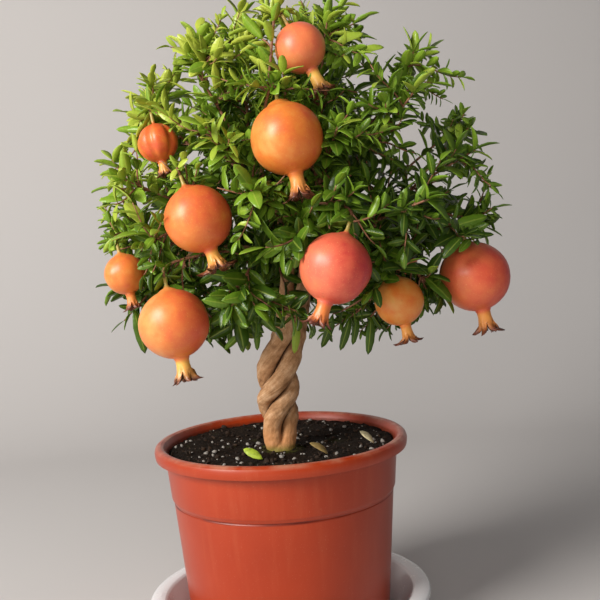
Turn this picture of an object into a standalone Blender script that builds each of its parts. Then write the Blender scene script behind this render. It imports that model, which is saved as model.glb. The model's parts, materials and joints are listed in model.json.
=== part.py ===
"""Potted dwarf pomegranate: a small tree with three stems twisted into one trunk, in a plastic pot on a saucer.

Metres, +Z up. The origin is the centre of the saucer's flat underside, and the front of the tree faces -Y.
"""

import math
import random
from itertools import combinations

import bmesh
import bpy
from mathutils import Matrix, Vector
from mathutils.bvhtree import BVHTree
from mathutils.geometry import interpolate_bezier

# Clearance between pieces that touch
GAP = 0.0003

# Saucer
SAUCER_RADIUS = 0.107
SAUCER_HEIGHT = 0.033
SAUCER_FLOOR = 0.004

# Pot
POT_RADIUS = 0.095
POT_TOP = 0.150
POT_WALL = 0.0024
POT_FOOT = SAUCER_FLOOR + GAP
POT_FLOOR = POT_FOOT + 0.006
TURNED_SIDES = 26
DRAIN_HOLES = 6
DRAIN_RADIUS = 0.006
DRAIN_CIRCLE = 0.045

# Soil
SOIL_TOP = POT_TOP - 0.011
SOIL_BUMP = 0.0008
HOLE_FLOOR = SOIL_TOP - 0.030

# Trunk
FOOT_RADIUS = 0.0135
STEM_RADIUS = 0.0073
STEM_CIRCLE = 0.0085
HEART_RADIUS = 0.0070
TWIST_PITCH = 0.057
TRUNK_TOP = POT_TOP + 0.075
TRUNK_LEAN = 0.010

# Crown: an egg-shaped outline with a flatter underside
CROWN_CENTRE = Vector((0.025, 0.0, 0.333))
CROWN_HALF_WIDTH = 0.147
CROWN_HALF_DEPTH = 0.119
CROWN_UP = 0.137
CROWN_DOWN = 0.116
TWIG_RADIUS = 0.0010
RUN_STEPS = 2
STRAIGHT_END = 0.003
SPRAYS = 36
SPRAY_LENGTH = 0.044
PAIR_SPACING = 0.0125
LEAF_PAIRS = 3
LEAF_LENGTH = 0.0235
LEAF_WIDTH = 0.0084
LEAF_THICKNESS = 0.0007
LEAF_ROOT = 0.00035
LEAF_ARCH = 0.16
LEAF_CLEARANCE = 0.0008

# Fruit: name, centre (x, y, z), radius, and sideways tilt in degrees. They hang with the calyx down
FRUITS = [
    ("top", 0.0286, -0.075, 0.4218, 0.0167, 24),
    ("upper_middle", 0.0159, -0.095, 0.3615, 0.0234, 10),
    ("upper_left", -0.0711, -0.050, 0.3685, 0.0133, 10),
    ("middle_left", -0.0446, -0.088, 0.3142, 0.0220, 19),
    ("far_left", -0.1009, -0.045, 0.2804, 0.0142, 12),
    ("lower_left", -0.0648, -0.085, 0.2469, 0.0229, 9),
    ("lower_middle", 0.0410, -0.108, 0.2774, 0.0227, -21),
    ("lower_right", 0.0865, -0.062, 0.2508, 0.0169, 11),
    ("far_right", 0.1431, -0.045, 0.2634, 0.0245, 10),
    ("back_left", -0.0480, 0.086, 0.3250, 0.0200, -8),
    ("back_right", 0.0720, 0.096, 0.3560, 0.0215, 6),
    ("back_low", 0.1050, 0.072, 0.2760, 0.0180, 12),
]
FRUIT_FORWARD_TILT = 8
STALK_RADIUS = 0.0014
STALK_RISE = 0.0085
CALYX_DROP = 0.55

GOLDEN_ANGLE = math.pi * (3 - math.sqrt(5))
DOWN = Vector((0, 0, -1))
UP = Vector((0, 0, 1))


# Scene and materials

def clear_scene():
    for old in list(bpy.data.objects):
        bpy.data.objects.remove(old, do_unlink=True)


def new_collection(name):
    collection = bpy.data.collections.new(name)
    bpy.context.scene.collection.children.link(collection)
    return collection


def new_material(name, colour, roughness):
    material = bpy.data.materials.new(name)
    material.use_nodes = True
    shader = material.node_tree.nodes["Principled BSDF"]
    shader.inputs["Base Color"].default_value = (*colour, 1)
    shader.inputs["Roughness"].default_value = roughness
    shader.inputs["Metallic"].default_value = 0
    return material


# Shapes

def new_object(name, mesh, collection):
    piece = bpy.data.objects.new(name, mesh)
    collection.objects.link(piece)
    return piece


def weld(mesh):
    """Join points that lie together, as where a curve's caps meet its sides, and leave only flat faces."""
    solid = bmesh.new()
    solid.from_mesh(mesh)
    bmesh.ops.remove_doubles(solid, verts=solid.verts, dist=1e-6)
    bmesh.ops.connect_verts_nonplanar(solid, angle_limit=1e-5, faces=solid.faces)
    solid.to_mesh(mesh)
    solid.free()


def as_mesh(shape, collection):
    """Swap a curve or a modified object for a plain mesh of what it shows."""
    graph = bpy.context.evaluated_depsgraph_get()
    mesh = bpy.data.meshes.new_from_object(shape.evaluated_get(graph))
    name = shape.name
    place = shape.matrix_world.copy()
    bpy.data.objects.remove(shape)
    piece = new_object(name, mesh, collection)
    piece.matrix_world = place
    return piece


def turned(name, profile, sides, collection):
    """Turn a profile of (radius, height) points about Z."""
    mesh = bpy.data.meshes.new(name)
    points = [(radius, 0, height) for radius, height in profile]
    mesh.from_pydata(points, [(i, i + 1) for i in range(len(points) - 1)], [])
    piece = new_object(name, mesh, collection)
    screw = piece.modifiers.new("turn", "SCREW")
    screw.steps = sides
    screw.render_steps = sides
    screw.use_merge_vertices = True
    screw.merge_threshold = 0.00001
    screw.use_smooth_shade = False
    shape = as_mesh(piece, collection)
    weld(shape.data)
    return shape


def tube(name, points, radii, sides, collection):
    """A tapering tube with filled caps along a list of points."""
    curve = bpy.data.curves.new(name, "CURVE")
    curve.dimensions = "3D"
    curve.bevel_depth = 1
    curve.bevel_resolution = (sides - 4) // 2
    curve.use_fill_caps = True
    line = curve.splines.new("POLY")
    line.points.add(len(points) - 1)
    for knot, point, radius in zip(line.points, points, radii):
        knot.co = (*point, 1)
        knot.radius = radius
    shape = as_mesh(new_object(name, curve, collection), collection)
    weld(shape.data)
    return shape


def shells(solid):
    """The separate closed shells of a mesh, as sets of vertices, the largest first."""
    left = set(solid.verts)
    found = []
    while left:
        reached = {left.pop()}
        edge = list(reached)
        while edge:
            near = {link.other_vert(vertex) for vertex in edge for link in vertex.link_edges}
            edge = list(near & left)
            left -= near
            reached |= near
        found.append(reached)
    return sorted(found, key=len, reverse=True)


def keep_one_shell(mesh):
    """Fill the hollows that a union sealed and drop its loose scraps."""
    solid = bmesh.new()
    solid.from_mesh(mesh)
    for extra in shells(solid)[1:]:
        bmesh.ops.delete(solid, geom=list(extra), context="VERTS")
    solid.to_mesh(mesh)
    solid.free()


def join(piece, extras):
    """Fuse the objects of a collection into a piece with one union, and remove them."""
    union = piece.modifiers.new("join", "BOOLEAN")
    union.operation = "UNION"
    union.operand_type = "COLLECTION"
    union.collection = extras
    union.solver = "MANIFOLD"
    fused = as_mesh(piece, piece.users_collection[0])
    keep_one_shell(fused.data)
    for extra in list(extras.objects):
        bpy.data.objects.remove(extra, do_unlink=True)
    bpy.data.collections.remove(extras)
    return fused


def finish(piece, material, smooth_angle=40):
    piece.data.materials.clear()
    piece.data.materials.append(material)
    piece.data.shade_smooth()
    piece.data.set_sharp_from_angle(angle=math.radians(smooth_angle))


def mix(a, b, share):
    return a + (b - a) * share


# Saucer, pot and soil

def make_saucer(collection, material):
    lip = SAUCER_RADIUS
    profile = [
        (lip - 0.0075, SAUCER_HEIGHT),
        (lip - 0.0015, SAUCER_HEIGHT - 0.0010),
        (lip, SAUCER_HEIGHT - 0.0035),
        (lip - 0.0040, SAUCER_HEIGHT - 0.0045),
        (lip - 0.0105, SAUCER_HEIGHT - 0.0070),
        (lip - 0.0230, 0.0015),
        (lip - 0.0250, 0.0),
        (0, 0),
        (0, SAUCER_FLOOR),
        (lip - 0.0280, SAUCER_FLOOR),
        (lip - 0.0145, SAUCER_HEIGHT - 0.0040),
        (lip - 0.0125, SAUCER_HEIGHT - 0.0012),
        (lip - 0.0075, SAUCER_HEIGHT),
    ]
    finish(turned("saucer", profile, TURNED_SIDES, collection), material)


def pot_outside(height):
    """Radius of the pot's wall outside: an upper band, a sloping shoulder and a lower wall."""
    shoulder_top = POT_TOP - 0.0405
    shoulder_foot = POT_TOP - 0.0465
    if height > shoulder_top:
        return mix(0.0836, 0.0858, (height - shoulder_top) / (POT_TOP - shoulder_top))
    if height > shoulder_foot:
        return mix(0.0798, 0.0836, (height - shoulder_foot) / (shoulder_top - shoulder_foot))
    return mix(0.0735, 0.0798, height / shoulder_foot)


def wall_line(heights, inset):
    return [(pot_outside(height) - inset, height) for height in heights]


def make_pot(collection, cutters, material):
    rim = POT_RADIUS
    bends = [POT_TOP - 0.0405, POT_TOP - 0.0465]
    skirt = POT_TOP - 0.0090
    profile = [
        (rim - 0.0045, POT_TOP),
        (rim - 0.0008, POT_TOP - 0.0016),
        (rim, POT_TOP - 0.0045),
        (rim - 0.0007, skirt),
        (rim - 0.0027, skirt),
        (rim - 0.0030, POT_TOP - 0.0045),
        *wall_line([POT_TOP - 0.0045, *bends, POT_FOOT + 0.0015], 0),
        (pot_outside(POT_FOOT) - 0.0015, POT_FOOT),
        (pot_outside(POT_FOOT) - 0.0075, POT_FOOT),
        (pot_outside(POT_FOOT) - 0.0090, POT_FLOOR - POT_WALL),
        (0, POT_FLOOR - POT_WALL),
        (0, POT_FLOOR),
        (pot_outside(POT_FLOOR) - POT_WALL, POT_FLOOR),
        *wall_line(reversed(bends), POT_WALL),
        *wall_line([POT_TOP - 0.0080], POT_WALL),
        (rim - 0.0070, POT_TOP - 0.0012),
        (rim - 0.0045, POT_TOP),
    ]
    pot = turned("pot", profile, TURNED_SIDES, collection)
    for i in range(DRAIN_HOLES):
        turn = math.tau * (i + 0.5) / DRAIN_HOLES
        place = (DRAIN_CIRCLE * math.cos(turn), DRAIN_CIRCLE * math.sin(turn), POT_FLOOR)
        bpy.ops.mesh.primitive_cylinder_add(vertices=8, radius=DRAIN_RADIUS, depth=0.010, location=place)
        cutter = bpy.context.object
        cutter.name = f"drain_hole_{i + 1}"
        cutter.users_collection[0].objects.unlink(cutter)
        cutters.objects.link(cutter)
        cutter.hide_render = True
        cutter.display_type = "WIRE"
    cut = pot.modifiers.new("drain_holes", "BOOLEAN")
    cut.operation = "DIFFERENCE"
    cut.operand_type = "COLLECTION"
    cut.collection = cutters
    cut.solver = "MANIFOLD"
    finish(pot, material, 30)


def soil_bump(x, y):
    return SOIL_BUMP * (math.sin(210 * x + 1.3) * math.cos(170 * y) + 0.6 * math.sin(390 * y + 260 * x))


def make_soil(collection, material):
    inset = POT_WALL + GAP
    hole = FOOT_RADIUS + GAP
    low = POT_FLOOR + GAP
    bends = [POT_TOP - 0.0405, POT_TOP - 0.0465]
    edge = pot_outside(SOIL_TOP) - inset
    profile = [
        (0, HOLE_FLOOR),
        (hole, HOLE_FLOOR),
        (hole, SOIL_TOP),
        (0.032, SOIL_TOP),
        (0.056, SOIL_TOP),
        (edge, SOIL_TOP - 0.0015),
        *wall_line(bends, inset),
        (pot_outside(low) - inset, low),
        (0, low),
    ]
    soil = turned("soil", profile, TURNED_SIDES, collection)
    for vertex in soil.data.vertices:
        x, y, z = vertex.co
        if z > SOIL_TOP - 0.0001 and math.hypot(x, y) > hole + GAP:
            vertex.co.z += soil_bump(x, y)
    finish(soil, material)
    return soil


# Fruit

def fruit_axis(tilt):
    """The way a fruit's calyx points."""
    swing = math.radians(tilt)
    forward = math.radians(FRUIT_FORWARD_TILT)
    return Vector((math.sin(swing), -math.sin(forward), -math.cos(swing))).normalized()


def fruit_places():
    """Name, centre, radius and calyx direction of each fruit. Those at the back lean the other way."""
    places = []
    for name, x, y, z, radius, tilt in FRUITS:
        axis = fruit_axis(tilt)
        if y > 0:
            axis.y = -axis.y
        places.append((name, Vector((x, y, z)), radius, axis))
    return places


def stalk_length(radius):
    return radius + STALK_RISE


def make_fruit(name, centre, radius, axis, collection, material):
    """A ball that narrows to its stalk above, with a hollow calyx of six lobes below."""
    neck = 0.0012 + 0.11 * radius
    flare = 0.0020 + 0.25 * radius
    lobes = -radius - CALYX_DROP * radius
    waist = -radius - 0.10 * radius
    bands = [math.radians(height) for height in (48, 15, -18, -52)]
    ball = [(math.cos(height) * radius, math.sin(height) * radius) for height in bands]
    profile = [
        (0, stalk_length(radius)),
        (STALK_RADIUS, stalk_length(radius)),
        (STALK_RADIUS, radius + 0.0030),
        (0.20 * radius, radius * 1.02),
        *ball,
        (neck + 0.0008, -radius * 0.98),
        (neck, waist),
        (flare, lobes),
        (neck * 0.75, waist - 0.0015),
        (0, waist - 0.0010),
    ]
    fruit = turned("fruit_" + name, profile, 12, collection)
    for vertex in fruit.data.vertices:
        x, y, z = vertex.co
        if abs(z - lobes) < 1e-5:
            side = round(math.atan2(y, x) / math.radians(30))
            if side % 2:
                vertex.co = (0.62 * x, 0.62 * y, mix(waist, lobes, 0.55))
    place = Matrix.Translation(centre) @ (-axis).to_track_quat("Z", "Y").to_matrix().to_4x4()
    fruit.matrix_world = place
    finish(fruit, material)


# Wood: where the stems, limbs and branches run

class Joint:
    """A point on the wood, the way the wood runs there, the joint below it and how many tips it carries."""

    def __init__(self, point, way, below):
        self.point = point
        self.way = way
        self.below = below
        self.load = 0


def trunk_axis(height):
    """Centre of the trunk at a height: upright in the soil, then leaning right."""
    rise = max(0, (height - SOIL_TOP) / (TRUNK_TOP - SOIL_TOP))
    sway = -0.0022 * math.sin(math.pi * min(rise * 1.6, 1))
    return Vector((TRUNK_LEAN * rise ** 2 + sway, 0, height))


def stem_point(stem, height):
    """Centre of one of the three stems, which wind up the trunk like a right-handed rope."""
    turn = math.tau * ((height - POT_TOP - 0.0215) / TWIST_PITCH - stem / 3 - 0.25)
    rise = min(max((height - SOIL_TOP) / 0.018, 0), 1)
    circle = mix(0.0058, STEM_CIRCLE, rise)
    return trunk_axis(height) + Vector((math.cos(turn), math.sin(turn), 0)) * circle


def stem_run(stem):
    low = SOIL_TOP - 0.006
    steps = 15
    return [stem_point(stem, mix(low, TRUNK_TOP, i / steps)) for i in range(steps + 1)]


def crown_reach(way):
    """Distance from the crown's centre to its outline along a unit vector."""
    upper = way.z > 0
    power = 2.0 if upper else 2.7
    height = CROWN_UP if upper else CROWN_DOWN
    total = abs(way.x / CROWN_HALF_WIDTH) ** power
    total += abs(way.y / CROWN_HALF_DEPTH) ** power
    total += abs(way.z / height) ** power
    return total ** (-1 / power)


def arc(start, start_way, end, end_way, steps):
    """A smooth curve that leaves start along start_way and reaches end along end_way."""
    reach = 0.38 * (end - start).length
    return interpolate_bezier(start, start + start_way * reach, end - end_way * reach, end, steps + 1)


def limb_run(stem):
    """A stem's limb, from the top of the trunk to the middle of the crown."""
    top = stem_point(stem, TRUNK_TOP)
    way = (top - stem_point(stem, TRUNK_TOP - 0.003)).normalized()
    turn = math.radians((-48, 172, 68)[stem])
    out = Vector((math.cos(turn), math.sin(turn), 0.75)).normalized()
    end = CROWN_CENTRE + out * crown_reach(out) * 0.42
    return arc(top, way, end, out, 6)


def add_run(joints, points, below):
    """Add joints along a run of points, and give the last one's number."""
    for i in range(1, len(points)):
        after = points[min(i + 1, len(points) - 1)]
        way = (after - points[i - 1]).normalized()
        joints.append(Joint(points[i], way, below))
        below = len(joints) - 1
    return below


def clears_fruit(points, fruits, room):
    """Whether points stay outside every fruit, its calyx and its stalk, with some room."""
    for name, centre, radius, axis in fruits:
        balls = [
            (centre, radius),
            (centre + axis * radius * (1 + CALYX_DROP * 0.6), 0.45 * radius),
            (centre - axis * (radius + 0.4 * STALK_RISE), 0.4 * STALK_RISE),
        ]
        for middle, reach in balls:
            if any((point - middle).length < reach + room for point in points):
                return False
    return True


def clears_twigs(points, twigs, room):
    """Whether points stay clear of the sprays' twigs, each given by its two ends."""
    for base, tip in twigs:
        along = tip - base
        for point in points:
            share = min(max((point - base).dot(along) / along.length_squared, 0), 1)
            if (base + along * share - point).length < room:
                return False
    return True


def grow(tips, fruits, twigs):
    """Join each tip to the wood that has grown so far, and return the joints and the runs between them."""
    joints = []
    runs = []
    for stem in range(3):
        limb = limb_run(stem)
        joints.append(Joint(limb[0], (limb[1] - limb[0]).normalized(), None))
        first = len(joints) - 1
        add_run(joints, limb, first)
    start = trunk_axis(TRUNK_TOP)
    for point, way in sorted(tips, key=lambda tip: (tip[0] - start).length):
        def cost(joint):
            gap = point - joint.point
            bend = gap.normalized().dot(joint.way)
            return gap.length * (1.7 - bend) + 0.25 * (joint.point - start).length
        order = sorted(range(len(joints)), key=lambda i: cost(joints[i]))
        others = [twig for twig in twigs if (twig[0] - point).length > GAP]
        for chosen in order:
            base = joints[chosen]
            run = [*arc(base.point, base.way, point - way * STRAIGHT_END, way, RUN_STEPS), point]
            path = [a.lerp(b, i / 4) for a, b in zip(run, run[1:]) for i in range(4)][:-4]
            if clears_fruit(path, fruits, 0.0022) and clears_twigs([*path, point], others, 0.0040):
                break
        first_new = len(joints)
        add_run(joints, run, chosen)
        runs.append([chosen, *range(first_new, len(joints))])
    for number in [run[-1] for run in runs]:
        while number is not None:
            joints[number].load += 1
            number = joints[number].below
    return joints, runs


def branch_radius(load):
    return TWIG_RADIUS * max(load, 1) ** 0.48


def make_wood(joints, runs, collection, material):
    """The trunk's foot, the three stems with their limbs, and every branch, fused into one solid."""
    parts = new_collection("wood parts")
    foot = [(0, SOIL_TOP + 0.014), (0.0075, SOIL_TOP + 0.012), (0.0115, SOIL_TOP + 0.006),
            (FOOT_RADIUS, SOIL_TOP + 0.001), (FOOT_RADIUS, HOLE_FLOOR + GAP), (0, HOLE_FLOOR + GAP)]
    wood = turned("wood", foot, 12, collection)
    heart = [trunk_axis(mix(SOIL_TOP, TRUNK_TOP, i / 5)) for i in range(6)]
    heart.append(trunk_axis(TRUNK_TOP + 0.007))
    tube("heart", heart, [HEART_RADIUS] * 6 + [0.002], 8, parts)
    for stem in range(3):
        limb = limb_run(stem)
        low = stem_run(stem)
        spread = [mix(STEM_RADIUS, 0.0030, (i / len(limb)) ** 0.6) for i in range(1, len(limb))]
        tube("stem", [*low, *limb[1:]], [STEM_RADIUS] * len(low) + spread, 8, parts)
    for run in runs:
        radii = [branch_radius(joints[i].load) for i in run]
        radii[0] = 0.8 * radii[1]
        tube("branch", [joints[i].point for i in run], radii, 6 if radii[0] > 0.002 else 4, parts)
    finish(join(wood, parts), material)


# Leaves

def blade(length, width, thickness):
    """An arched leaf blade along +X: points and faces, with its upper face along +Z."""
    stations = [(0, LEAF_ROOT), (0.38 * length, 0.5 * width), (0.75 * length, 0.40 * width)]
    points = []
    for side in (1, -1):
        for x, half in stations:
            height = side * thickness / 2 - LEAF_ARCH * length * (x / length) ** 2
            points.append(Vector((x, half, height)))
            points.append(Vector((x, -half, height)))
    points.append(Vector((length, 0, -LEAF_ARCH * length)))
    top = [(0, 1, 3, 2), (2, 3, 5, 4), (4, 5, 12)]
    bottom = [(6, 8, 9, 7), (8, 10, 11, 9), (10, 12, 11)]
    edges = [(0, 2, 8, 6), (2, 4, 10, 8), (4, 12, 10), (12, 5, 11), (5, 3, 9, 11), (3, 1, 7, 9), (1, 0, 6, 7)]
    return points, top + bottom + edges


def frame_matrix(origin, forward, upward):
    """A matrix that stands at origin, with +X forward and +Z as near upward as it can be."""
    side = upward.cross(forward).normalized()
    top = forward.cross(side).normalized()
    turn = Matrix((forward, side, top)).transposed().to_4x4()
    return Matrix.Translation(origin) @ turn


def placed_tree(points, faces, matrix):
    return BVHTree.FromPolygons([matrix @ point for point in points], faces)


class Neighbours:
    """What has been placed so far, as search trees with the ball that holds each."""

    def __init__(self):
        self.kept = []

    def add(self, tree, centre, reach, owner):
        self.kept.append((tree, centre, reach, owner))

    def hit(self, tree, centre, reach, owner=None):
        for other, middle, room, whose in self.kept:
            if owner is not None and whose == owner:
                continue
            if (middle - centre).length < reach + room and tree.overlap(other):
                return True
        return False


def twig_tree(base, heading, tip):
    """A four-sided rod around a twig, for keeping other leaves off it."""
    out = heading.orthogonal().normalized() * (TWIG_RADIUS + LEAF_CLEARANCE)
    side = heading.cross(out)
    corners = [end + shift for end in (base + heading * GAP, tip) for shift in (out, side, -out, -side)]
    faces = [(i, (i + 1) % 4, 4 + (i + 1) % 4, 4 + i) for i in range(4)]
    return BVHTree.FromPolygons(corners, faces)


def object_tree(piece):
    points = [piece.matrix_world @ vertex.co for vertex in piece.data.vertices]
    faces = [tuple(face.vertices) for face in piece.data.polygons]
    return BVHTree.FromPolygons(points, faces)


def hides_fruit(points, fruits):
    """Whether any point lies in front of a fruit, on the side that it shows."""
    for name, centre, radius, axis in fruits:
        face = Vector((0, -1 if centre.y < 0 else 1, 0))
        for point in points:
            gap = point - centre
            ahead = gap.dot(face)
            if ahead > 0 and (gap - face * ahead).length < 0.92 * radius:
                return True
    return False


def spray_ways():
    """Directions spread evenly over the crown, but not straight down to the trunk."""
    count = SPRAYS + 5
    ways = []
    for i in range(count):
        height = 1 - 2 * (i + 0.5) / count
        ring = math.sqrt(1 - height * height)
        turn = i * GOLDEN_ANGLE + 0.4
        ways.append(Vector((ring * math.cos(turn), ring * math.sin(turn), height)))
    return [way for way in ways if way.z > -0.80][:SPRAYS]


def place_spray(way, fruits, twigs, draw):
    """The start and direction of a spray whose tip reaches the crown's outline."""
    for attempt in range(60):
        loose = 0.06 + 0.012 * attempt
        jitter = Vector((draw.uniform(-1, 1), draw.uniform(-1, 1), draw.uniform(-1, 1))) * loose
        aim = (way + jitter).normalized()
        tip = CROWN_CENTRE + aim * (crown_reach(aim) - 0.010)
        droop = 0.35 if aim.z > -0.2 else -0.15
        heading = (aim + UP * droop).normalized()
        base = tip - heading * SPRAY_LENGTH
        line = [base.lerp(tip, i / 10) for i in range(11)]
        room = clears_fruit(line, fruits, 0.004) and clears_twigs(line, twigs, 0.008)
        if room and not hides_fruit(line, fruits):
            break
    return base, heading, tip


def leaf_choices(origin, heading, side, draw):
    """Ways to set a leaf at a point of a twig, the most regular first."""
    for attempt in range(14):
        spread = math.radians(draw.uniform(44, 62) + attempt)
        roll = Matrix.Rotation(draw.uniform(-0.10, 0.10) * (attempt + 1), 3, heading)
        out = roll @ side
        forward = (heading * math.cos(spread) + out * math.sin(spread)).normalized()
        upward = (heading + UP * 0.8).normalized()
        length = LEAF_LENGTH * draw.uniform(0.80, 1.12) * (1 - 0.02 * attempt)
        yield frame_matrix(origin, forward, upward), length


def leafy_points(base, heading, draw):
    """Points along a twig with each leaf's sideways direction: opposite pairs, each turned from the last."""
    side = heading.orthogonal().normalized()
    side = Matrix.Rotation(draw.uniform(0, math.tau), 3, heading) @ side
    for i in range(LEAF_PAIRS):
        origin = base + heading * (SPRAY_LENGTH - 0.002 - PAIR_SPACING * (LEAF_PAIRS - 1 - i))
        yield origin, side
        yield origin, -side
        side = Matrix.Rotation(math.radians(90 + draw.uniform(-20, 20)), 3, heading) @ side


def spray_leaves(number, base, heading, tip, fruits, kept):
    """Matrix and length of each leaf on a spray that finds room."""
    leaves = []
    own = Neighbours()
    spots = [*leafy_points(base, heading, random.Random(number)), (tip - heading * 0.002, None)]
    for place, (origin, side) in enumerate(spots):
        draw = random.Random(100 * number + place)
        choices = leaf_choices(origin, heading, side, draw) if side else tip_choices(origin, heading, draw)
        for matrix, length in choices:
            room = 2 * LEAF_CLEARANCE
            points, faces = blade(length + LEAF_CLEARANCE, LEAF_WIDTH + room, LEAF_THICKNESS + room)
            outline = [matrix @ point for point in points]
            if not clears_fruit(outline, fruits, LEAF_CLEARANCE) or hides_fruit(outline, fruits):
                continue
            middle = matrix @ Vector((length / 2, 0, 0))
            tree = BVHTree.FromPolygons(outline, faces)
            if kept.hit(tree, middle, length * 0.6, number):
                continue
            past_root = matrix @ Matrix.Translation((0.0035, 0, 0))
            free = placed_tree(*blade(length, LEAF_WIDTH, LEAF_THICKNESS), past_root)
            if own.hit(free, middle, length * 0.6):
                continue
            own.add(free, middle, length * 0.6, None)
            leaves.append((matrix, length, tree, middle))
            break
    for matrix, length, tree, middle in leaves:
        kept.add(tree, middle, length * 0.6, number)
    return [(matrix, length) for matrix, length, tree, middle in leaves]


def tip_choices(origin, heading, draw):
    """Ways to set the leaf that ends a twig."""
    for attempt in range(10):
        wander = Vector((draw.uniform(-1, 1), draw.uniform(-1, 1), draw.uniform(-1, 1))) * 0.06 * (attempt + 1)
        forward = (heading + wander).normalized()
        yield frame_matrix(origin, forward, UP + wander), LEAF_LENGTH * draw.uniform(0.75, 1.0)


def make_leaf(name, matrix, length, collection):
    points, faces = blade(length, LEAF_WIDTH, LEAF_THICKNESS)
    mesh = bpy.data.meshes.new(name)
    mesh.from_pydata([matrix @ point for point in points], [], faces)
    return new_object(name, mesh, collection)


def make_spray(number, base, heading, tip, leaves, collection, material):
    """A twig and its leaves, fused into one solid. The twig starts a gap beyond the branch that bears it."""
    parts = new_collection("spray parts")
    start = base + heading * GAP
    middle = base.lerp(tip, 0.5)
    twig = tube(f"spray_{number:02d}", [start, middle, tip], [TWIG_RADIUS, 0.0009, 0.0008], 4, collection)
    for matrix, length in leaves:
        make_leaf("leaf", matrix, length, parts)
    finish(join(twig, parts), material, 30)


# Fallen leaves

FALLEN = [
    ("fallen_leaf_green", -0.0245, -0.0110, -80, 0.018),
    ("fallen_leaf_brown", 0.0200, -0.0190, 15, 0.016),
    ("fallen_leaf_pale", 0.0590, -0.0200, 50, 0.017),
]


def make_fallen(name, x, y, turn, length, soil, collection, material):
    """A leaf that lies on the soil, as low as it can without touching."""
    points, faces = blade(length, LEAF_WIDTH * 0.8, LEAF_THICKNESS)
    matrix = Matrix.Translation((x, y, SOIL_TOP)) @ Matrix.Rotation(math.radians(turn), 4, "Z")
    flatter = [matrix @ Vector((p.x, p.y, p.z * 0.4)) for p in points]
    ground = object_tree(soil)
    lift = -1
    for a, b in combinations(flatter, 2):
        spot = a.lerp(b, 0.5)
        for point in (a, spot):
            height = ground.ray_cast(Vector((point.x, point.y, POT_TOP)), DOWN)[0].z
            lift = max(lift, height + GAP - point.z)
    mesh = bpy.data.meshes.new(name)
    mesh.from_pydata([point + UP * lift for point in flatter], [], faces)
    finish(new_object(name, mesh, collection), material)


def main():
    clear_scene()
    tree = new_collection("potted_dwarf_pomegranate")
    cutters = new_collection("cutters")
    white = new_material("white_plastic", (0.80, 0.79, 0.78), 0.25)
    terracotta = new_material("terracotta_plastic", (0.47, 0.09, 0.035), 0.40)
    earth = new_material("potting_soil", (0.020, 0.012, 0.008), 0.95)
    bark = new_material("bark", (0.27, 0.14, 0.075), 0.80)
    rind = new_material("fruit_rind", (0.80, 0.22, 0.07), 0.40)
    leaf_green = new_material("leaf_green", (0.07, 0.19, 0.03), 0.35)
    leaf_fallen = new_material("leaf_fallen", (0.50, 0.44, 0.14), 0.60)

    make_saucer(tree, white)
    make_pot(tree, cutters, terracotta)
    soil = make_soil(tree, earth)

    fruits = fruit_places()
    for name, centre, radius, axis in fruits:
        make_fruit(name, centre, radius, axis, tree, rind)

    draw = random.Random(12)
    sprays = []
    for way in spray_ways():
        sprays.append(place_spray(way, fruits, [(base, tip) for base, heading, tip in sprays], draw))
    tips = [(base, heading) for base, heading, tip in sprays]
    twigs = [(base, tip) for base, heading, tip in sprays]
    for name, centre, radius, axis in fruits:
        tips.append((centre - axis * (stalk_length(radius) + GAP), axis))
    joints, runs = grow(tips, fruits, twigs)
    make_wood(joints, runs, tree, bark)

    kept = Neighbours()
    wood = object_tree(bpy.data.objects["wood"])
    kept.add(wood, CROWN_CENTRE, 1.0, "wood")
    for name, centre, radius, axis in fruits:
        kept.add(object_tree(bpy.data.objects["fruit_" + name]), centre, 2 * radius, name)
    for number, (base, heading, tip) in enumerate(sprays, 1):
        kept.add(twig_tree(base, heading, tip), base.lerp(tip, 0.5), SPRAY_LENGTH * 0.55, number)
    for number, (base, heading, tip) in enumerate(sprays, 1):
        leaves = spray_leaves(number, base, heading, tip, fruits, kept)
        make_spray(number, base, heading, tip, leaves, tree, leaf_green)

    for name, x, y, turn, length in FALLEN:
        make_fallen(name, x, y, turn, length, soil, tree, leaf_fallen)


main()
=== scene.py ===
# %% [markdown]
# A potted dwarf pomegranate: a small tree with three stems twisted into one trunk, a round crown of glossy
# leaves and hanging fruit, in a terracotta-coloured pot on a white saucer. The solid model gives the places
# and sizes. This lesson makes the surfaces that are seen: the smooth pot, the fused bark, the fruit with
# their crowned ends, and about eight thousand leaves.

# %% Load the solid model as a fixed frame
import json
import math
import random
from collections import Counter, namedtuple

import bmesh
import bpy
from mathutils import Matrix, Vector, noise
from mathutils.geometry import interpolate_bezier

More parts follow.
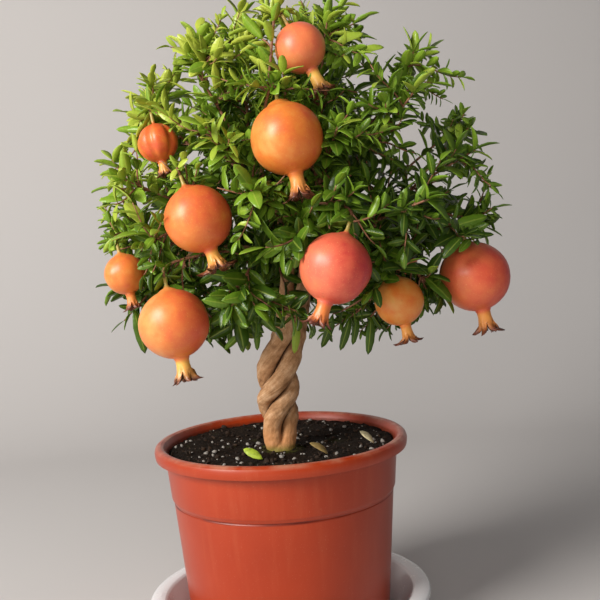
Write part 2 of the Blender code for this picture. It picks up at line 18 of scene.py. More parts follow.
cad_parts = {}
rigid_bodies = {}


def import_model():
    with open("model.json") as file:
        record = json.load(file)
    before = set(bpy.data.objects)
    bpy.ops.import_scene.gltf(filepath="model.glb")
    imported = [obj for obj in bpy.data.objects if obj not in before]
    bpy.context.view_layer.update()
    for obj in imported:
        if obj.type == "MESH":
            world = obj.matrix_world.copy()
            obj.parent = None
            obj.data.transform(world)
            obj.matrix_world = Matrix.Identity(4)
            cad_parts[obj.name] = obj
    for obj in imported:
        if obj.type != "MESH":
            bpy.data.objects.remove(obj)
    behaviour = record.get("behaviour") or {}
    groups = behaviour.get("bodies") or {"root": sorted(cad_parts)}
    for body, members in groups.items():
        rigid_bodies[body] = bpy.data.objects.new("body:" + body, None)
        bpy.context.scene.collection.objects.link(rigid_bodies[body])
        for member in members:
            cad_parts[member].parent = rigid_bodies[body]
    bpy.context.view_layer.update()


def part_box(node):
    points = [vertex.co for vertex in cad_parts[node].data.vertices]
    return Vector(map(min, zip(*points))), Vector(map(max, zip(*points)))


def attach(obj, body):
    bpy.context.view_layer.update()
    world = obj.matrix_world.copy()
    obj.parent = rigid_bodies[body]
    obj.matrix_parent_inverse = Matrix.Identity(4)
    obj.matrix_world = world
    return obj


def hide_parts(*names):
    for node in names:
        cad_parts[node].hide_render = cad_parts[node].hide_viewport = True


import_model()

POT_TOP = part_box("pot")[1][2]
print("the pot's rim stands", round(POT_TOP * 1000, 1), "mm high")

# %% [markdown]
# The view is part of the likeness. The photograph looks slightly down at the tree, a little from its left,
# and leans by a few degrees. The camera is turned in the order a photographer would: swing round, tip down,
# then roll. Its lens gives the same perspective, which shows in how round the pot's rim looks.

# %% Camera
CAMERA_BACK = 0.6739
CAMERA_ABOVE_RIM = 0.1480
SWING = 1.77
TIP_DOWN = 3.94
ROLL = -3.50


def linked(name, data):
    """A new object in the scene."""
    made = bpy.data.objects.new(name, data)
    bpy.context.scene.collection.objects.link(made)
    return made


def rotation(degrees, axis):
    return Matrix.Rotation(math.radians(degrees), 4, axis)


view = bpy.data.cameras.new("photo_view")
view.lens = 54
view.sensor_width = 36
camera = linked("photo_view", view)
place = Matrix.Translation((0, -CAMERA_BACK, POT_TOP + CAMERA_ABOVE_RIM))
camera.matrix_world = place @ rotation(-SWING, "Z") @ rotation(90 - TIP_DOWN, "X") @ rotation(ROLL, "Z")
bpy.context.scene.camera = camera
print("camera", [round(value, 3) for value in camera.matrix_world.translation])

# %% [markdown]
# A plain pale floor that curves up into a backdrop keeps attention on the plant. It starts as a plane, and
# its far edge is pulled up and rounded with a bevel, as a paper roll hangs in a studio.

# %% Floor and backdrop
FLOOR_SIZE = 5
FLOOR_MIDDLE = -1.4
FAR = 1
WALL_HEIGHT = 3
WALL_BEND = 0.5


def nothing_selected():
    if bpy.context.object and bpy.context.object.mode != "OBJECT":
        bpy.ops.object.mode_set(mode="OBJECT")
    for other in bpy.context.view_layer.objects:
        other.select_set(False)


def pick_edges(piece, wanted):
    """Select the edges whose two ends both pass a test on their place."""
    bpy.ops.mesh.select_mode(type="EDGE")
    bpy.ops.mesh.select_all(action="DESELECT")
    shape = bmesh.from_edit_mesh(piece.data)
    for edge in shape.edges:
        edge.select = all(wanted(vertex.co) for vertex in edge.verts)
    bmesh.update_edit_mesh(piece.data)


nothing_selected()
bpy.ops.mesh.primitive_plane_add(size=FLOOR_SIZE, location=(0, FLOOR_MIDDLE, 0))
backdrop = bpy.context.object
backdrop.name = "backdrop"
bpy.ops.object.transform_apply(location=True)
bpy.ops.object.mode_set(mode="EDIT")
pick_edges(backdrop, lambda spot: spot.y > FAR)
bpy.ops.mesh.extrude_edges_move(TRANSFORM_OT_translate={"value": (0, 0, WALL_HEIGHT)})
pick_edges(backdrop, lambda spot: spot.y > FAR and spot.z < WALL_HEIGHT / 2)
bpy.ops.mesh.bevel(offset=WALL_BEND, segments=16, affect="EDGES")
bpy.ops.object.mode_set(mode="OBJECT")
backdrop.data.shade_smooth()
print("backdrop faces", len(backdrop.data.polygons))

# %% [markdown]
# The light comes from a large window on the left, in front of the plant and above it. One large area light
# stands for it, so that fruit and pot have a soft bright side and a deep shaded side. A weak broad lamp
# near the camera stands for light from the room. It lights the shade without showing as a gloss of its own,
# and an even sky does the rest.

# %% Lights
def area_light(name, spot, aim, size, power, colour):
    lamp = bpy.data.lights.new(name, "AREA")
    lamp.size = size
    lamp.energy = power
    lamp.color = colour
    light = linked(name, lamp)
    turn = (Vector(aim) - Vector(spot)).to_track_quat("-Z", "Y")
    light.matrix_world = Matrix.Translation(spot) @ turn.to_matrix().to_4x4()
    return light


area_light("window", (-1.35, -1.00, 1.10), (0, 0, 0.27), size=0.9, power=50, colour=(1.0, 0.97, 0.93))
room_light = area_light("room", (-0.10, -1.60, 0.50), (0.04, 0, 0.27), size=0.8, power=7,
                        colour=(1.0, 0.97, 0.94))
room_light.visible_glossy = False
sky = bpy.data.worlds.new("sky")
sky.use_nodes = True
sky_glow = sky.node_tree.nodes["Background"].inputs
sky_glow["Color"].default_value = (0.80, 0.84, 0.90, 1)
sky_glow["Strength"].default_value = 0.14
bpy.context.scene.world = sky
bpy.context.scene.view_settings.view_transform = "Standard"
print("lights", len(bpy.data.lights))

# %% [markdown]
# Finishes are drawn with nodes. A small class wraps a node's output, so that a pattern can be written as
# ordinary arithmetic, and turned into a soft step or into colours. A second class holds the material and
# makes the nodes. Constants such as the gloss of the plastic are set straight on the shader.

# %% Patterns as arithmetic
class Wire:
    """A node's output that can be added, multiplied and so on like a number."""

    def __init__(self, finish, socket):
        self.finish = finish
        self.socket = socket

    def __add__(self, other):
        return self.finish.maths("ADD", self, other)

    def __sub__(self, other):
        return self.finish.maths("SUBTRACT", self, other)

    def __rsub__(self, other):
        return self.finish.maths("SUBTRACT", other, self)

    def __mul__(self, other):
        return self.finish.maths("MULTIPLY", self, other)

    def __pow__(self, other):
        return self.finish.maths("POWER", self, other)

    __radd__ = __add__
    __rmul__ = __mul__

    def step(self, low, high):
        """A soft step from 0 to 1 as the value goes from low to high."""
        values = {"Value": self, "From Min": low, "From Max": high}
        return self.finish.node("MapRange", "Result", values, interpolation_type="SMOOTHSTEP")

    def blend(self, first, second):
        """A colour between two, with this value as the second one's share."""
        return self.finish.node("Mix", 2, {"Factor": self, 6: first, 7: second}, data_type="RGBA")

    def ramp(self, *stops):
        """A colour for the value, from stops that each hold a value and its colour."""
        ramped = self.finish.node("ValToRGB", "Color", {"Fac": self})
        elements = ramped.socket.node.color_ramp.elements
        while len(elements) < len(stops):
            elements.new(0.5)
        for element, (position, colour) in zip(elements, stops):
            element.position = position
            element.color = (*colour, 1)
        return ramped


# %% Materials made of patterns
class Finish:
    """A material with a Principled shader and the nodes that feed it."""

    def __init__(self, name, **constants):
        self.material = bpy.data.materials.new(name)
        self.material.use_nodes = True
        self.tree = self.material.node_tree
        self.sockets = self.tree.nodes["Principled BSDF"].inputs
        for socket, value in constants.items():
            self.sockets[socket.replace("_", " ")].default_value = value

    def connect(self, target, value):
        if isinstance(value, Wire):
            self.tree.links.new(value.socket, target)
        elif target.type == "RGBA":
            target.default_value = (*value, 1)
        else:
            target.default_value = value

    def node(self, kind, output, inputs=None, **settings):
        """A new node's output."""
        made = self.tree.nodes.new("ShaderNode" + kind)
        for name, value in settings.items():
            setattr(made, name, value)
        for name, value in (inputs or {}).items():
            self.connect(made.inputs[name], value)
        return Wire(self, made.outputs[output])

    def maths(self, operation, first, second=0):
        return self.node("Math", "Value", {0: first, 1: second}, operation=operation)

    def place(self, scale=(1, 1, 1)):
        """Object coordinates, stretched."""
        return self.node("Mapping", "Vector", {"Vector": self.node("TexCoord", "Object"), "Scale": scale})

    def part(self, axis, where=None):
        """One of the three numbers of a place."""
        return self.node("SeparateXYZ", axis, {"Vector": where or self.place()})

    def off_axis(self):
        """Distance from the pot's upright axis."""
        x = self.part("X")
        y = self.part("Y")
        return (x * x + y * y) ** 0.5

    def attribute(self, name, output="Fac"):
        return self.node("Attribute", output, attribute_name=name)

    def cloud(self, scale, detail=4, roughness=0.55, where=None):
        """A noise pattern from 0 to 1, at a scale in waves for each metre."""
        values = {"Vector": where or self.place(), "Scale": scale, "Detail": detail, "Roughness": roughness}
        return self.node("TexNoise", "Fac", values)

    def wear(self, colour, roughness, height=None, depth=0.001, strength=0.5):
        """Feed the shader. height is a pattern for a bump of some depth in metres."""
        self.connect(self.sockets["Base Color"], colour)
        self.connect(self.sockets["Roughness"], roughness)
        if height is not None:
            values = {"Height": height, "Distance": depth, "Strength": strength}
            self.connect(self.sockets["Normal"], self.node("Bump", "Normal", values))

    def cover(self, piece):
        piece.data.materials.append(self.material)


paper = Finish("pale_paper", Specular_IOR_Level=0.1)
paper.wear(paper.cloud(1.5, 2).blend((0.57, 0.545, 0.53), (0.61, 0.585, 0.57)), 0.9)
paper.cover(backdrop)
print("paper finish", len(paper.tree.nodes), "nodes")

# %% [markdown]
# Saucer, pot and soil are turned shapes. Each starts as a circle, and its edge is extruded and scaled ring
# by ring along the wall's outline, as a potter would draw it. A bevel modifier then rounds the corners, so
# that they catch the light.

# %% Turned shapes
FINE_SIDES = 96
# Radius of the ring that closes a turned shape at its axis
POINT = 0.0002


def mix(a, b, share):
    return a + (b - a) * share


def clamp(value):
    """A value kept between 0 and 1."""
    return min(max(value, 0), 1)


def eased(share):
    """A share from 0 to 1 that starts and ends gently."""
    return share * share * (3 - 2 * share)


def pick(piece):
    """Make a piece the only one selected, and the active one."""
    nothing_selected()
    piece.select_set(True)
    bpy.context.view_layer.objects.active = piece


def apply_modifiers(piece):
    pick(piece)
    for name in [modifier.name for modifier in piece.modifiers]:
        bpy.ops.object.modifier_apply(modifier=name)


def merge_points(piece, distance=0.000001, outwards=True):
    """Merge the points of a piece that lie together, and turn its faces outwards."""
    pick(piece)
    bpy.ops.object.mode_set(mode="EDIT")
    bpy.ops.mesh.select_all(action="SELECT")
    bpy.ops.mesh.remove_doubles(threshold=distance)
    if outwards:
        bpy.ops.mesh.normals_make_consistent(inside=False)
    bpy.ops.object.mode_set(mode="OBJECT")


def turned(name, outline, sides, closed=True):
    """Draw a circle along an outline of (radius, height) points, by extruding and scaling it."""
    nothing_selected()
    radius, height = outline[0]
    bpy.ops.mesh.primitive_circle_add(vertices=sides, radius=radius, location=(0, 0, height))
    piece = bpy.context.object
    piece.name = name
    bpy.ops.object.transform_apply(location=True)
    bpy.ops.object.mode_set(mode="EDIT")
    bpy.ops.mesh.select_all(action="SELECT")
    for wide, high in outline[1:]:
        bpy.ops.mesh.extrude_edges_move(TRANSFORM_OT_translate={"value": (0, 0, high - height)})
        bpy.ops.transform.resize(value=(wide / radius, wide / radius, 1), center_override=(0, 0, 0))
        radius, height = wide, high
    bpy.ops.object.mode_set(mode="OBJECT")
    if closed:
        merge_points(piece)
    return piece


def rounded(piece, width, segments):
    """Round a piece's sharp edges."""
    bevel = piece.modifiers.new("rounding", "BEVEL")
    bevel.width = width
    bevel.segments = segments
    bevel.limit_method = "ANGLE"
    bevel.angle_limit = math.radians(25)
    apply_modifiers(piece)
    piece.data.shade_smooth()


print("turned shapes have", FINE_SIDES, "sides")

# %% [markdown]
# The saucer is a white plastic dish. Its lip rolls outwards in one broad curve, and the photograph shows
# that lip on both sides of the pot's foot, shining. A thin film of dust dulls it in patches.

# %% Saucer
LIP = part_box("saucer")[1][0]
LIP_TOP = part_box("saucer")[1][2]

lip_curve = [(LIP - 0.0085, LIP_TOP), (LIP - 0.0042, LIP_TOP - 0.0003), (LIP - 0.0012, LIP_TOP - 0.0015)]
lip_curve += [(LIP, LIP_TOP - 0.0036), (LIP - 0.0012, LIP_TOP - 0.0046), (LIP - 0.0050, LIP_TOP - 0.0046)]
below = [(LIP - 0.0105, LIP_TOP - 0.0070), (LIP - 0.0225, 0.0022), (LIP - 0.0235, 0.0004), (LIP - 0.0250, 0)]
dish = [(POINT, 0), (POINT, 0.0040), (LIP - 0.0290, 0.0040), (LIP - 0.0278, 0.0048)]
dish += [(LIP - 0.0148, LIP_TOP - 0.0045), (LIP - 0.0136, LIP_TOP - 0.0020), (LIP - 0.0118, LIP_TOP - 0.0006)]
saucer = turned("saucer_dish", [*lip_curve, *below, *dish, lip_curve[0]], FINE_SIDES)
rounded(saucer, 0.0004, 2)
white = Finish("white_plastic", IOR=1.5, Coat_Roughness=0.05, Coat_Weight=0.3)
dust = white.cloud(60, 5) * white.cloud(400, 2)
dulled = dust.step(0.30, 0.55).blend((0.78, 0.78, 0.79), (0.62, 0.60, 0.57))
white.wear(dulled, 0.16 + 0.30 * dust.step(0.25, 0.5), white.cloud(900, 2), depth=0.0002, strength=0.08)
white.cover(saucer)
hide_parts("saucer")
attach(saucer, "root")
print("saucer faces", len(saucer.data.polygons))

# %% [markdown]
# The pot is one thin moulding. From the top down it has a rolled rim whose skirt hangs free of the wall, an
# upper band, a sloping shoulder with a shallow groove under it, and a lower wall that tapers to a foot
# ring. Inside, the wall follows the outside at its own thickness. Drain holes are bored through its floor,
# each with a Boolean.

# %% Pot
POT_WALL = 0.0024
POT_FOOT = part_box("pot")[0][2]
POT_FLOOR = POT_FOOT + 0.006
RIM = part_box("pot")[1][0]
SHOULDER_TOP = POT_TOP - 0.0380
SHOULDER_FOOT = POT_TOP - 0.0418
BAND_HIGH = 0.0880
BAND_LOW = 0.0845
WALL_HIGH = 0.0830
WALL_LOW = 0.0737
DRAIN_HOLES = 6
DRAIN_CIRCLE = 0.045
DRAIN_RADIUS = 0.006


def pot_outside(height):
    """Radius of the pot's wall outside at a height."""
    if height > SHOULDER_TOP:
        return mix(BAND_LOW, BAND_HIGH, (height - SHOULDER_TOP) / (POT_TOP - SHOULDER_TOP))
    if height > SHOULDER_FOOT:
        share = (height - SHOULDER_FOOT) / (SHOULDER_TOP - SHOULDER_FOOT)
        return mix(WALL_HIGH, BAND_LOW, eased(share))
    return mix(WALL_LOW, WALL_HIGH, height / SHOULDER_FOOT)


def wall_line(heights, inset):
    return [(pot_outside(height) - inset, height) for height in heights]


def pot_outline():
    """The pot's section: down its outside, across its floor and up its inside."""
    skirt = POT_TOP - 0.0090
    under = POT_TOP - 0.0045
    rim = [(RIM - 0.0045, POT_TOP), (RIM - 0.0024, POT_TOP - 0.0004), (RIM - 0.0007, POT_TOP - 0.0018)]
    rim += [(RIM, POT_TOP - 0.0045), (RIM - 0.0002, POT_TOP - 0.0066), (RIM - 0.0007, skirt)]
    rim += [(RIM - 0.0027, skirt), (RIM - 0.0030, under)]
    middle = [mix(SHOULDER_TOP, under, share) for share in (0.75, 0.5, 0.25)]
    lower = [mix(POT_FOOT, SHOULDER_FOOT, share) for share in (0.8, 0.6, 0.4, 0.2)]
    shoulder = [mix(SHOULDER_TOP, SHOULDER_FOOT, share) for share in (0, 0.2, 0.4, 0.6, 0.8, 1)]
    outside = wall_line([under, *middle, *shoulder], 0) + wall_line([SHOULDER_FOOT - 0.0006], 0.0004)
    outside += wall_line([SHOULDER_FOOT - 0.0013, *lower, POT_FOOT + 0.0015], 0)
    foot = pot_outside(POT_FOOT)
    base = [(foot - 0.0015, POT_FOOT), (foot - 0.0075, POT_FOOT), (foot - 0.0090, POT_FLOOR - POT_WALL)]
    base += [(POINT, POT_FLOOR - POT_WALL), (POINT, POT_FLOOR), *wall_line([POT_FLOOR], POT_WALL)]
    inside = wall_line([SHOULDER_FOOT, SHOULDER_TOP, POT_TOP - 0.0080], POT_WALL)
    inside += [(RIM - 0.0078, POT_TOP - 0.0030), (RIM - 0.0066, POT_TOP - 0.0008)]
    return [*rim, *outside, *base, *inside, rim[0]]


pot = turned("pot_moulding", pot_outline(), FINE_SIDES)
for i in range(DRAIN_HOLES):
    turn = math.tau * (i + 0.5) / DRAIN_HOLES
    nothing_selected()
    spot = (DRAIN_CIRCLE * math.cos(turn), DRAIN_CIRCLE * math.sin(turn), POT_FLOOR)
    bpy.ops.mesh.primitive_cylinder_add(vertices=24, radius=DRAIN_RADIUS, depth=0.010, location=spot)
    drill = bpy.context.object
    bore = pot.modifiers.new("bore", "BOOLEAN")
    bore.operation = "DIFFERENCE"
    bore.object = drill
    apply_modifiers(pot)
    bpy.data.objects.remove(drill)
rounded(pot, 0.0006, 3)
print("pot faces", len(pot.data.polygons))

# %% [markdown]
# The pot's plastic is a saturated brick orange with a soft sheen. It is slightly paler in patches along the
# top of the rim, with faint upright streaks and specks of dust. The streaks come from a noise pattern
# stretched far along Z. The groove under the shoulder is darkened as painted shade, and the wall inside is
# darkened, most near the soil, partly as mud and partly as painted shade. Heights and distances from the axis
# tell the nodes where each of them goes.

# %% Pot finish
CLAY = (0.325, 0.027, 0.002)
CLAY_BRIGHT = (0.385, 0.035, 0.003)
GROOVE = SHOULDER_FOOT - 0.0010

clay = Finish("terracotta_plastic", IOR=1.46, Specular_IOR_Level=0.25, Coat_Roughness=0.38)
height_up = clay.part("Z")
streaks = clay.cloud(1, 5, 0.6, clay.place((160, 160, 9)))
specks = clay.cloud(1100, 2, 0.5).step(0.66, 0.74)
broad = clay.cloud(14, 3)
# Paler in patches along the top of the rim.
rim_top_paler = height_up.step(POT_TOP - 0.0035, POT_TOP) * clay.cloud(90, 4).step(0.35, 0.75)
plain = broad.ramp((0.3, CLAY), (0.7, CLAY_BRIGHT))
streaked = (0.12 * streaks.step(0.45, 0.75)).blend(plain, (0.52, 0.13, 0.05))
dusty = (0.25 * specks).blend(streaked, (0.55, 0.25, 0.14))
rim_top_paled = (0.75 * rim_top_paler).blend(dusty, (0.50, 0.23, 0.14))
# Painted shade: the groove under the shoulder is darkened in the colour, more in some patches.
groove_shade = height_up.step(GROOVE - 0.0012, GROOVE) * (1 - height_up.step(GROOVE + 0.0008, GROOVE + 0.0020))
groove_shaded = (groove_shade * (0.25 + 0.75 * broad.step(0.40, 0.60))).blend(rim_top_paled, (0.120, 0.008, 0.001))
band_slope = (BAND_HIGH - BAND_LOW) / (POT_TOP - SHOULDER_TOP)
past_wall = clay.off_axis() - band_slope * (height_up - SHOULDER_TOP)
above_soil = height_up.step(POT_TOP - 0.021, POT_TOP - 0.017)
inner_side = (1 - past_wall.step(BAND_LOW - 0.0016, BAND_LOW - 0.0008)) * above_soil
near_soil = 1 - height_up.step(POT_TOP - 0.0100, POT_TOP - 0.0015)
splashes = 0.55 + 0.45 * clay.cloud(130, 5, 0.7).step(0.30, 0.65)
# The wall inside is darkened, most near the soil: partly mud, partly painted shade on the inner side.
mud_and_shade = inner_side * (0.45 + 0.50 * near_soil) * splashes
mud_and_shade_tone = mud_and_shade.blend(groove_shaded, (0.070, 0.018, 0.006))
clay.connect(clay.sockets["Coat Weight"], 0.65 * (1 - 0.85 * inner_side))
dullness = 0.36 + 0.14 * streaks + 0.15 * specks + 0.3 * mud_and_shade
clay.wear(mud_and_shade_tone, dullness, clay.cloud(1600, 2), depth=0.0003, strength=0.06)
clay.cover(pot)
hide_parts("pot")
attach(pot, "root")
print("pot finish", len(clay.tree.nodes), "nodes")

# %% [markdown]
# Potting soil is never flat. Its top is a turned disc with many rings, pushed up and down by three sizes of
# noise, with a low mound round the trunk and a bank towards the wall. The body below follows the pot's
# inside, a hair clear of it. The finish is nearly black, with browner clods and a green film of moss where
# the trunk stands.

# %% Soil
SOIL_TOP = POT_TOP - 0.011
TRUNK_FOOT = 0.0120
CLEARANCE = 0.0003
SOIL_RINGS = 26
SOIL_SIDES = 160
SOIL_EDGE = pot_outside(SOIL_TOP) - POT_WALL - CLEARANCE
# For each size of unevenness: waves for each metre, a seed and a height
UNEVEN = ((70, 0.3, 0.0014), (260, 1.7, 0.0011), (620, 4.1, 0.0005))


def soil_height(x, y):
    """Height of the soil's surface at a place."""
    out = math.hypot(x, y)
    mound = 0.0018 * math.exp(-((out - TRUNK_FOOT) / 0.010) ** 2)
    bank = 0.0046 * eased(clamp((out - 0.028) / 0.045))
    lumps = [noise.noise(Vector((x * waves, y * waves, seed))) * high for waves, seed, high in UNEVEN]
    return SOIL_TOP + mound + bank + sum(lumps)


rings = [(mix(TRUNK_FOOT - 0.002, SOIL_EDGE, i / SOIL_RINGS), SOIL_TOP) for i in range(SOIL_RINGS + 1)]
body = wall_line([SHOULDER_TOP, SHOULDER_FOOT, POT_FLOOR + CLEARANCE], POT_WALL + CLEARANCE)
hole = [(POINT, SOIL_TOP - 0.030), (TRUNK_FOOT - 0.002, SOIL_TOP - 0.030), rings[0]]
soil = turned("soil_bed", [*rings, *body, (POINT, POT_FLOOR + CLEARANCE), *hole], SOIL_SIDES)
for vertex in soil.data.vertices:
    if vertex.co.z > SOIL_TOP - 0.0001:
        vertex.co.z = soil_height(vertex.co.x, vertex.co.y)
soil.data.shade_smooth()
earth = Finish("potting_soil", Specular_IOR_Level=0.10)
clods = earth.cloud(420, 6, 0.7)
by_trunk = (1 - earth.off_axis().step(0.013, 0.020)) * earth.cloud(240, 4, 0.7).step(0.42, 0.58)
moss = 0.25 * earth.cloud(60, 3).step(0.62, 0.80) + 0.75 * by_trunk
dark_stops = ((0.30, (0.004, 0.0025, 0.0015)), (0.55, (0.017, 0.010, 0.006)))
brown = clods.ramp(*dark_stops, (0.75, (0.048, 0.029, 0.017)))
lumpy = clods + 0.5 * earth.cloud(1500, 4, 0.7)
earth.wear(moss.blend(brown, (0.080, 0.090, 0.015)), 0.85, lumpy, depth=0.0012, strength=1.0)
earth.cover(soil)
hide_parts("soil")
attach(soil, "root")
print("soil faces", len(soil.data.polygons))

# %% [markdown]
# Pale grains of perlite and dark crumbs of bark lie all over the soil. Three irregular grains are modelled
# from icospheres, and copies of them are scattered by a seeded draw, each turned, scaled and pressed into
# the surface. The copies of one colour are then joined into a single piece.

# %% Grains
GRAIN_MODELS = 3


def joined(name, pieces):
    """Join pieces into one object with this name."""
    nothing_selected()
    for piece in pieces:
        piece.select_set(True)
    bpy.context.view_layer.objects.active = pieces[0]
    bpy.ops.object.join()
    pieces[0].name = name
    return pieces[0]


def settled(piece):
    """Put a piece's place into its mesh."""
    piece.data.transform(piece.matrix_world)
    piece.matrix_world = Matrix.Identity(4)
    return piece


def grain_model(seed):
    nothing_selected()
    bpy.ops.mesh.primitive_ico_sphere_add(subdivisions=2, radius=1)
    grain = bpy.context.object
    for vertex in grain.data.vertices:
        vertex.co *= 1 + 0.35 * noise.noise(vertex.co * 1.3 + Vector((seed, 0, 0)))
    return grain


def scatter(name, count, small, large, squash, draw):
    """Copy grains over the soil. Most are small, and few are large."""
    models = [grain_model(seed) for seed in range(GRAIN_MODELS)]
    copies = []
    while len(copies) < count:
        out = SOIL_EDGE * math.sqrt(draw.random()) * 0.985
        turn = draw.uniform(0, math.tau)
        if out < TRUNK_FOOT + 0.001:
            continue
        size = mix(small, large, draw.random() ** 2.5) / 2
        x = out * math.cos(turn)
        y = out * math.sin(turn)
        copy = linked(name, models[len(copies) % GRAIN_MODELS].data.copy())
        angle = draw.uniform(0, math.tau)
        spin = Matrix.Rotation(angle, 4, Vector((draw.random(), draw.random(), 1)).normalized())
        stretch = Matrix.Diagonal((size, size * draw.uniform(0.6, 1), size * squash, 1))
        copy.matrix_world = Matrix.Translation((x, y, soil_height(x, y) + size * 0.15)) @ spin @ stretch
        copies.append(settled(copy))
    for model in models:
        bpy.data.objects.remove(model)
    piece = joined(name, copies)
    piece.data.shade_smooth()
    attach(piece, "root")
    return piece


draw = random.Random(3)
perlite = scatter("perlite_grains", 150, small=0.0010, large=0.0048, squash=0.7, draw=draw)
crumbs = scatter("bark_crumbs", 420, small=0.0014, large=0.0055, squash=0.45, draw=draw)
chalk = Finish("perlite", Specular_IOR_Level=0.3)
pores = chalk.cloud(2500, 3)
chalk_tone = pores.ramp((0.35, (0.15, 0.13, 0.11)), (0.65, (0.44, 0.41, 0.37)))
chalk.wear(chalk_tone, 0.85, pores, depth=0.0004, strength=0.6)
chalk.cover(perlite)
humus = Finish("bark_crumb", Specular_IOR_Level=0.3)
humus_tone = humus.cloud(300, 4).ramp((0.35, (0.007, 0.004, 0.003)), (0.70, (0.050, 0.026, 0.013)))
humus.wear(humus_tone, 0.8, humus.cloud(1800, 3), depth=0.0004, strength=0.7)
humus.cover(crumbs)
print("grains", len(perlite.data.polygons) + len(crumbs.data.polygons), "faces")

# %% [markdown]
# The tree grows by rule, and the same rule made the solid model. Fruit hang at measured places, inside or
# just past an egg-shaped crown. A few tests tell later cells whether a line of points keeps clear of the
# fruit, leaves their faces in sight and keeps clear of the twigs.

# %% Crown and fruit places
CROWN_CENTRE = Vector((0.025, 0.0, 0.333))
CROWN_HALF_WIDTH = 0.147
CROWN_HALF_DEPTH = 0.119
CROWN_UP = 0.137
CROWN_DOWN = 0.116
STALK_RISE = 0.0085
CALYX_DROP = 0.55
UP = Vector((0, 0, 1))

Fruit = namedtuple("Fruit", "name centre radius axis")

# Name, centre (x, y, z), radius and sideways tilt in degrees
FRUITS = [
    ("top", 0.0286, -0.075, 0.4218, 0.0167, 24),
    ("upper_middle", 0.0159, -0.095, 0.3615, 0.0234, 10),
    ("upper_left", -0.0711, -0.050, 0.3685, 0.0133, 10),
    ("middle_left", -0.0446, -0.088, 0.3142, 0.0220, 19),
    ("far_left", -0.1009, -0.045, 0.2804, 0.0142, 12),
    ("lower_left", -0.0648, -0.085, 0.2469, 0.0229, 9),
    ("lower_middle", 0.0410, -0.108, 0.2774, 0.0227, -21),
    ("lower_right", 0.0865, -0.062, 0.2508, 0.0169, 11),
    ("far_right", 0.1431, -0.045, 0.2634, 0.0245, 10),
    ("back_left", -0.0480, 0.086, 0.3250, 0.0200, -8),
    ("back_right", 0.0720, 0.096, 0.3560, 0.0215, 6),
    ("back_low", 0.1050, 0.072, 0.2760, 0.0180, 12),
]


def fruit_axis(tilt, front):
    """The way a fruit's calyx points: down, tilted sideways, and a little out of the crown."""
    swing = math.radians(tilt)
    outwards = math.sin(math.radians(8)) * (-1 if front else 1)
    return Vector((math.sin(swing), outwards, -math.cos(swing))).normalized()


def stalk_end(fruit):
    """Where a fruit's stalk meets its branch."""
    return fruit.centre - fruit.axis * (fruit.radius + STALK_RISE + 0.0003)


def crown_reach(way):
    """Distance from the crown's centre to its outline along a unit vector."""
    power, height = (2.0, CROWN_UP) if way.z > 0 else (2.7, CROWN_DOWN)
    total = abs(way.x / CROWN_HALF_WIDTH) ** power
    total += abs(way.y / CROWN_HALF_DEPTH) ** power
    total += abs(way.z / height) ** power
    return total ** (-1 / power)


def clears_fruit(points, room):
    """Whether points stay outside every fruit, its calyx and its stalk, with some room."""
    return all((point - middle).length >= reach + room for middle, reach in balls for point in points)


def in_front(points, middle, reach):
    """Whether any point lies further out of the crown than a middle, and would hide what is round it."""
    gaps = [point - middle for point in points]
    return any(gap.y * middle.y > 0 and math.hypot(gap.x, gap.z) < reach for gap in gaps)


def hides_fruit(points, share=0.92):
    """Whether any point lies in front of a fruit, on the side that it shows."""
    return any(in_front(points, fruit.centre, share * fruit.radius) for fruit in fruits)


def clears_twigs(points, twigs, room):
    """Whether points stay clear of the sprays' twigs, each given by its two ends."""
    for base, tip in twigs:
        along = tip - base
        for point in points:
            share = clamp((point - base).dot(along) / along.length_squared)
            if (base + along * share - point).length < room:
                return False
    return True


fruits = []
# Balls round each fruit, its calyx and its stalk: a middle and a radius
balls = []
for name, x, y, z, radius, tilt in FRUITS:
    centre = Vector((x, y, z))
    axis = fruit_axis(tilt, y < 0)
    fruits.append(Fruit(name, centre, radius, axis))
    balls.append((centre, radius))
    balls.append((centre + axis * radius * (1 + CALYX_DROP * 0.6), 0.45 * radius))
    balls.append((centre - axis * (radius + 0.4 * STALK_RISE), 0.4 * STALK_RISE))
print(len(fruits), "fruit")

# %% [markdown]
# Leafy sprays are spread evenly over the crown, as shoots share out the light. Evenly spread directions
# come from turning by the golden angle, and each is then loosened by small random steps until its twig
# keeps clear of fruit and of other twigs. The draws are those of the solid model, and the frame's boxes
# confirm it.

# %% Sprays at the same places as in the solid model
SPRAYS = 36
SPRAY_LENGTH = 0.044
GOLDEN_ANGLE = math.pi * (3 - math.sqrt(5))

Spray = namedtuple("Spray", "base heading tip")


def even_ways(count, turn_by):
    """Directions spread evenly round a ball."""
    ways = []
    for i in range(count):
        height = 1 - 2 * (i + 0.5) / count
        ring = math.sqrt(1 - height * height)
        turn = i * GOLDEN_ANGLE + turn_by
        ways.append(Vector((ring * math.cos(turn), ring * math.sin(turn), height)))
    return ways


def any_way(draw):
    return Vector((draw.uniform(-1, 1), draw.uniform(-1, 1), draw.uniform(-1, 1)))


def place_spray(way, twigs, draw):
    """A spray that reaches the crown's outline."""
    for attempt in range(60):
        loose = 0.06 + 0.012 * attempt
        aim = (way + any_way(draw) * loose).normalized()
        tip = CROWN_CENTRE + aim * (crown_reach(aim) - 0.010)
        droop = 0.35 if aim.z > -0.2 else -0.15
        heading = (aim + UP * droop).normalized()
        base = tip - heading * SPRAY_LENGTH
        line = [base.lerp(tip, i / 10) for i in range(11)]
        room = clears_fruit(line, 0.004) and clears_twigs(line, twigs, 0.008)
        if room and not hides_fruit(line):
            break
    return Spray(base, heading, tip)


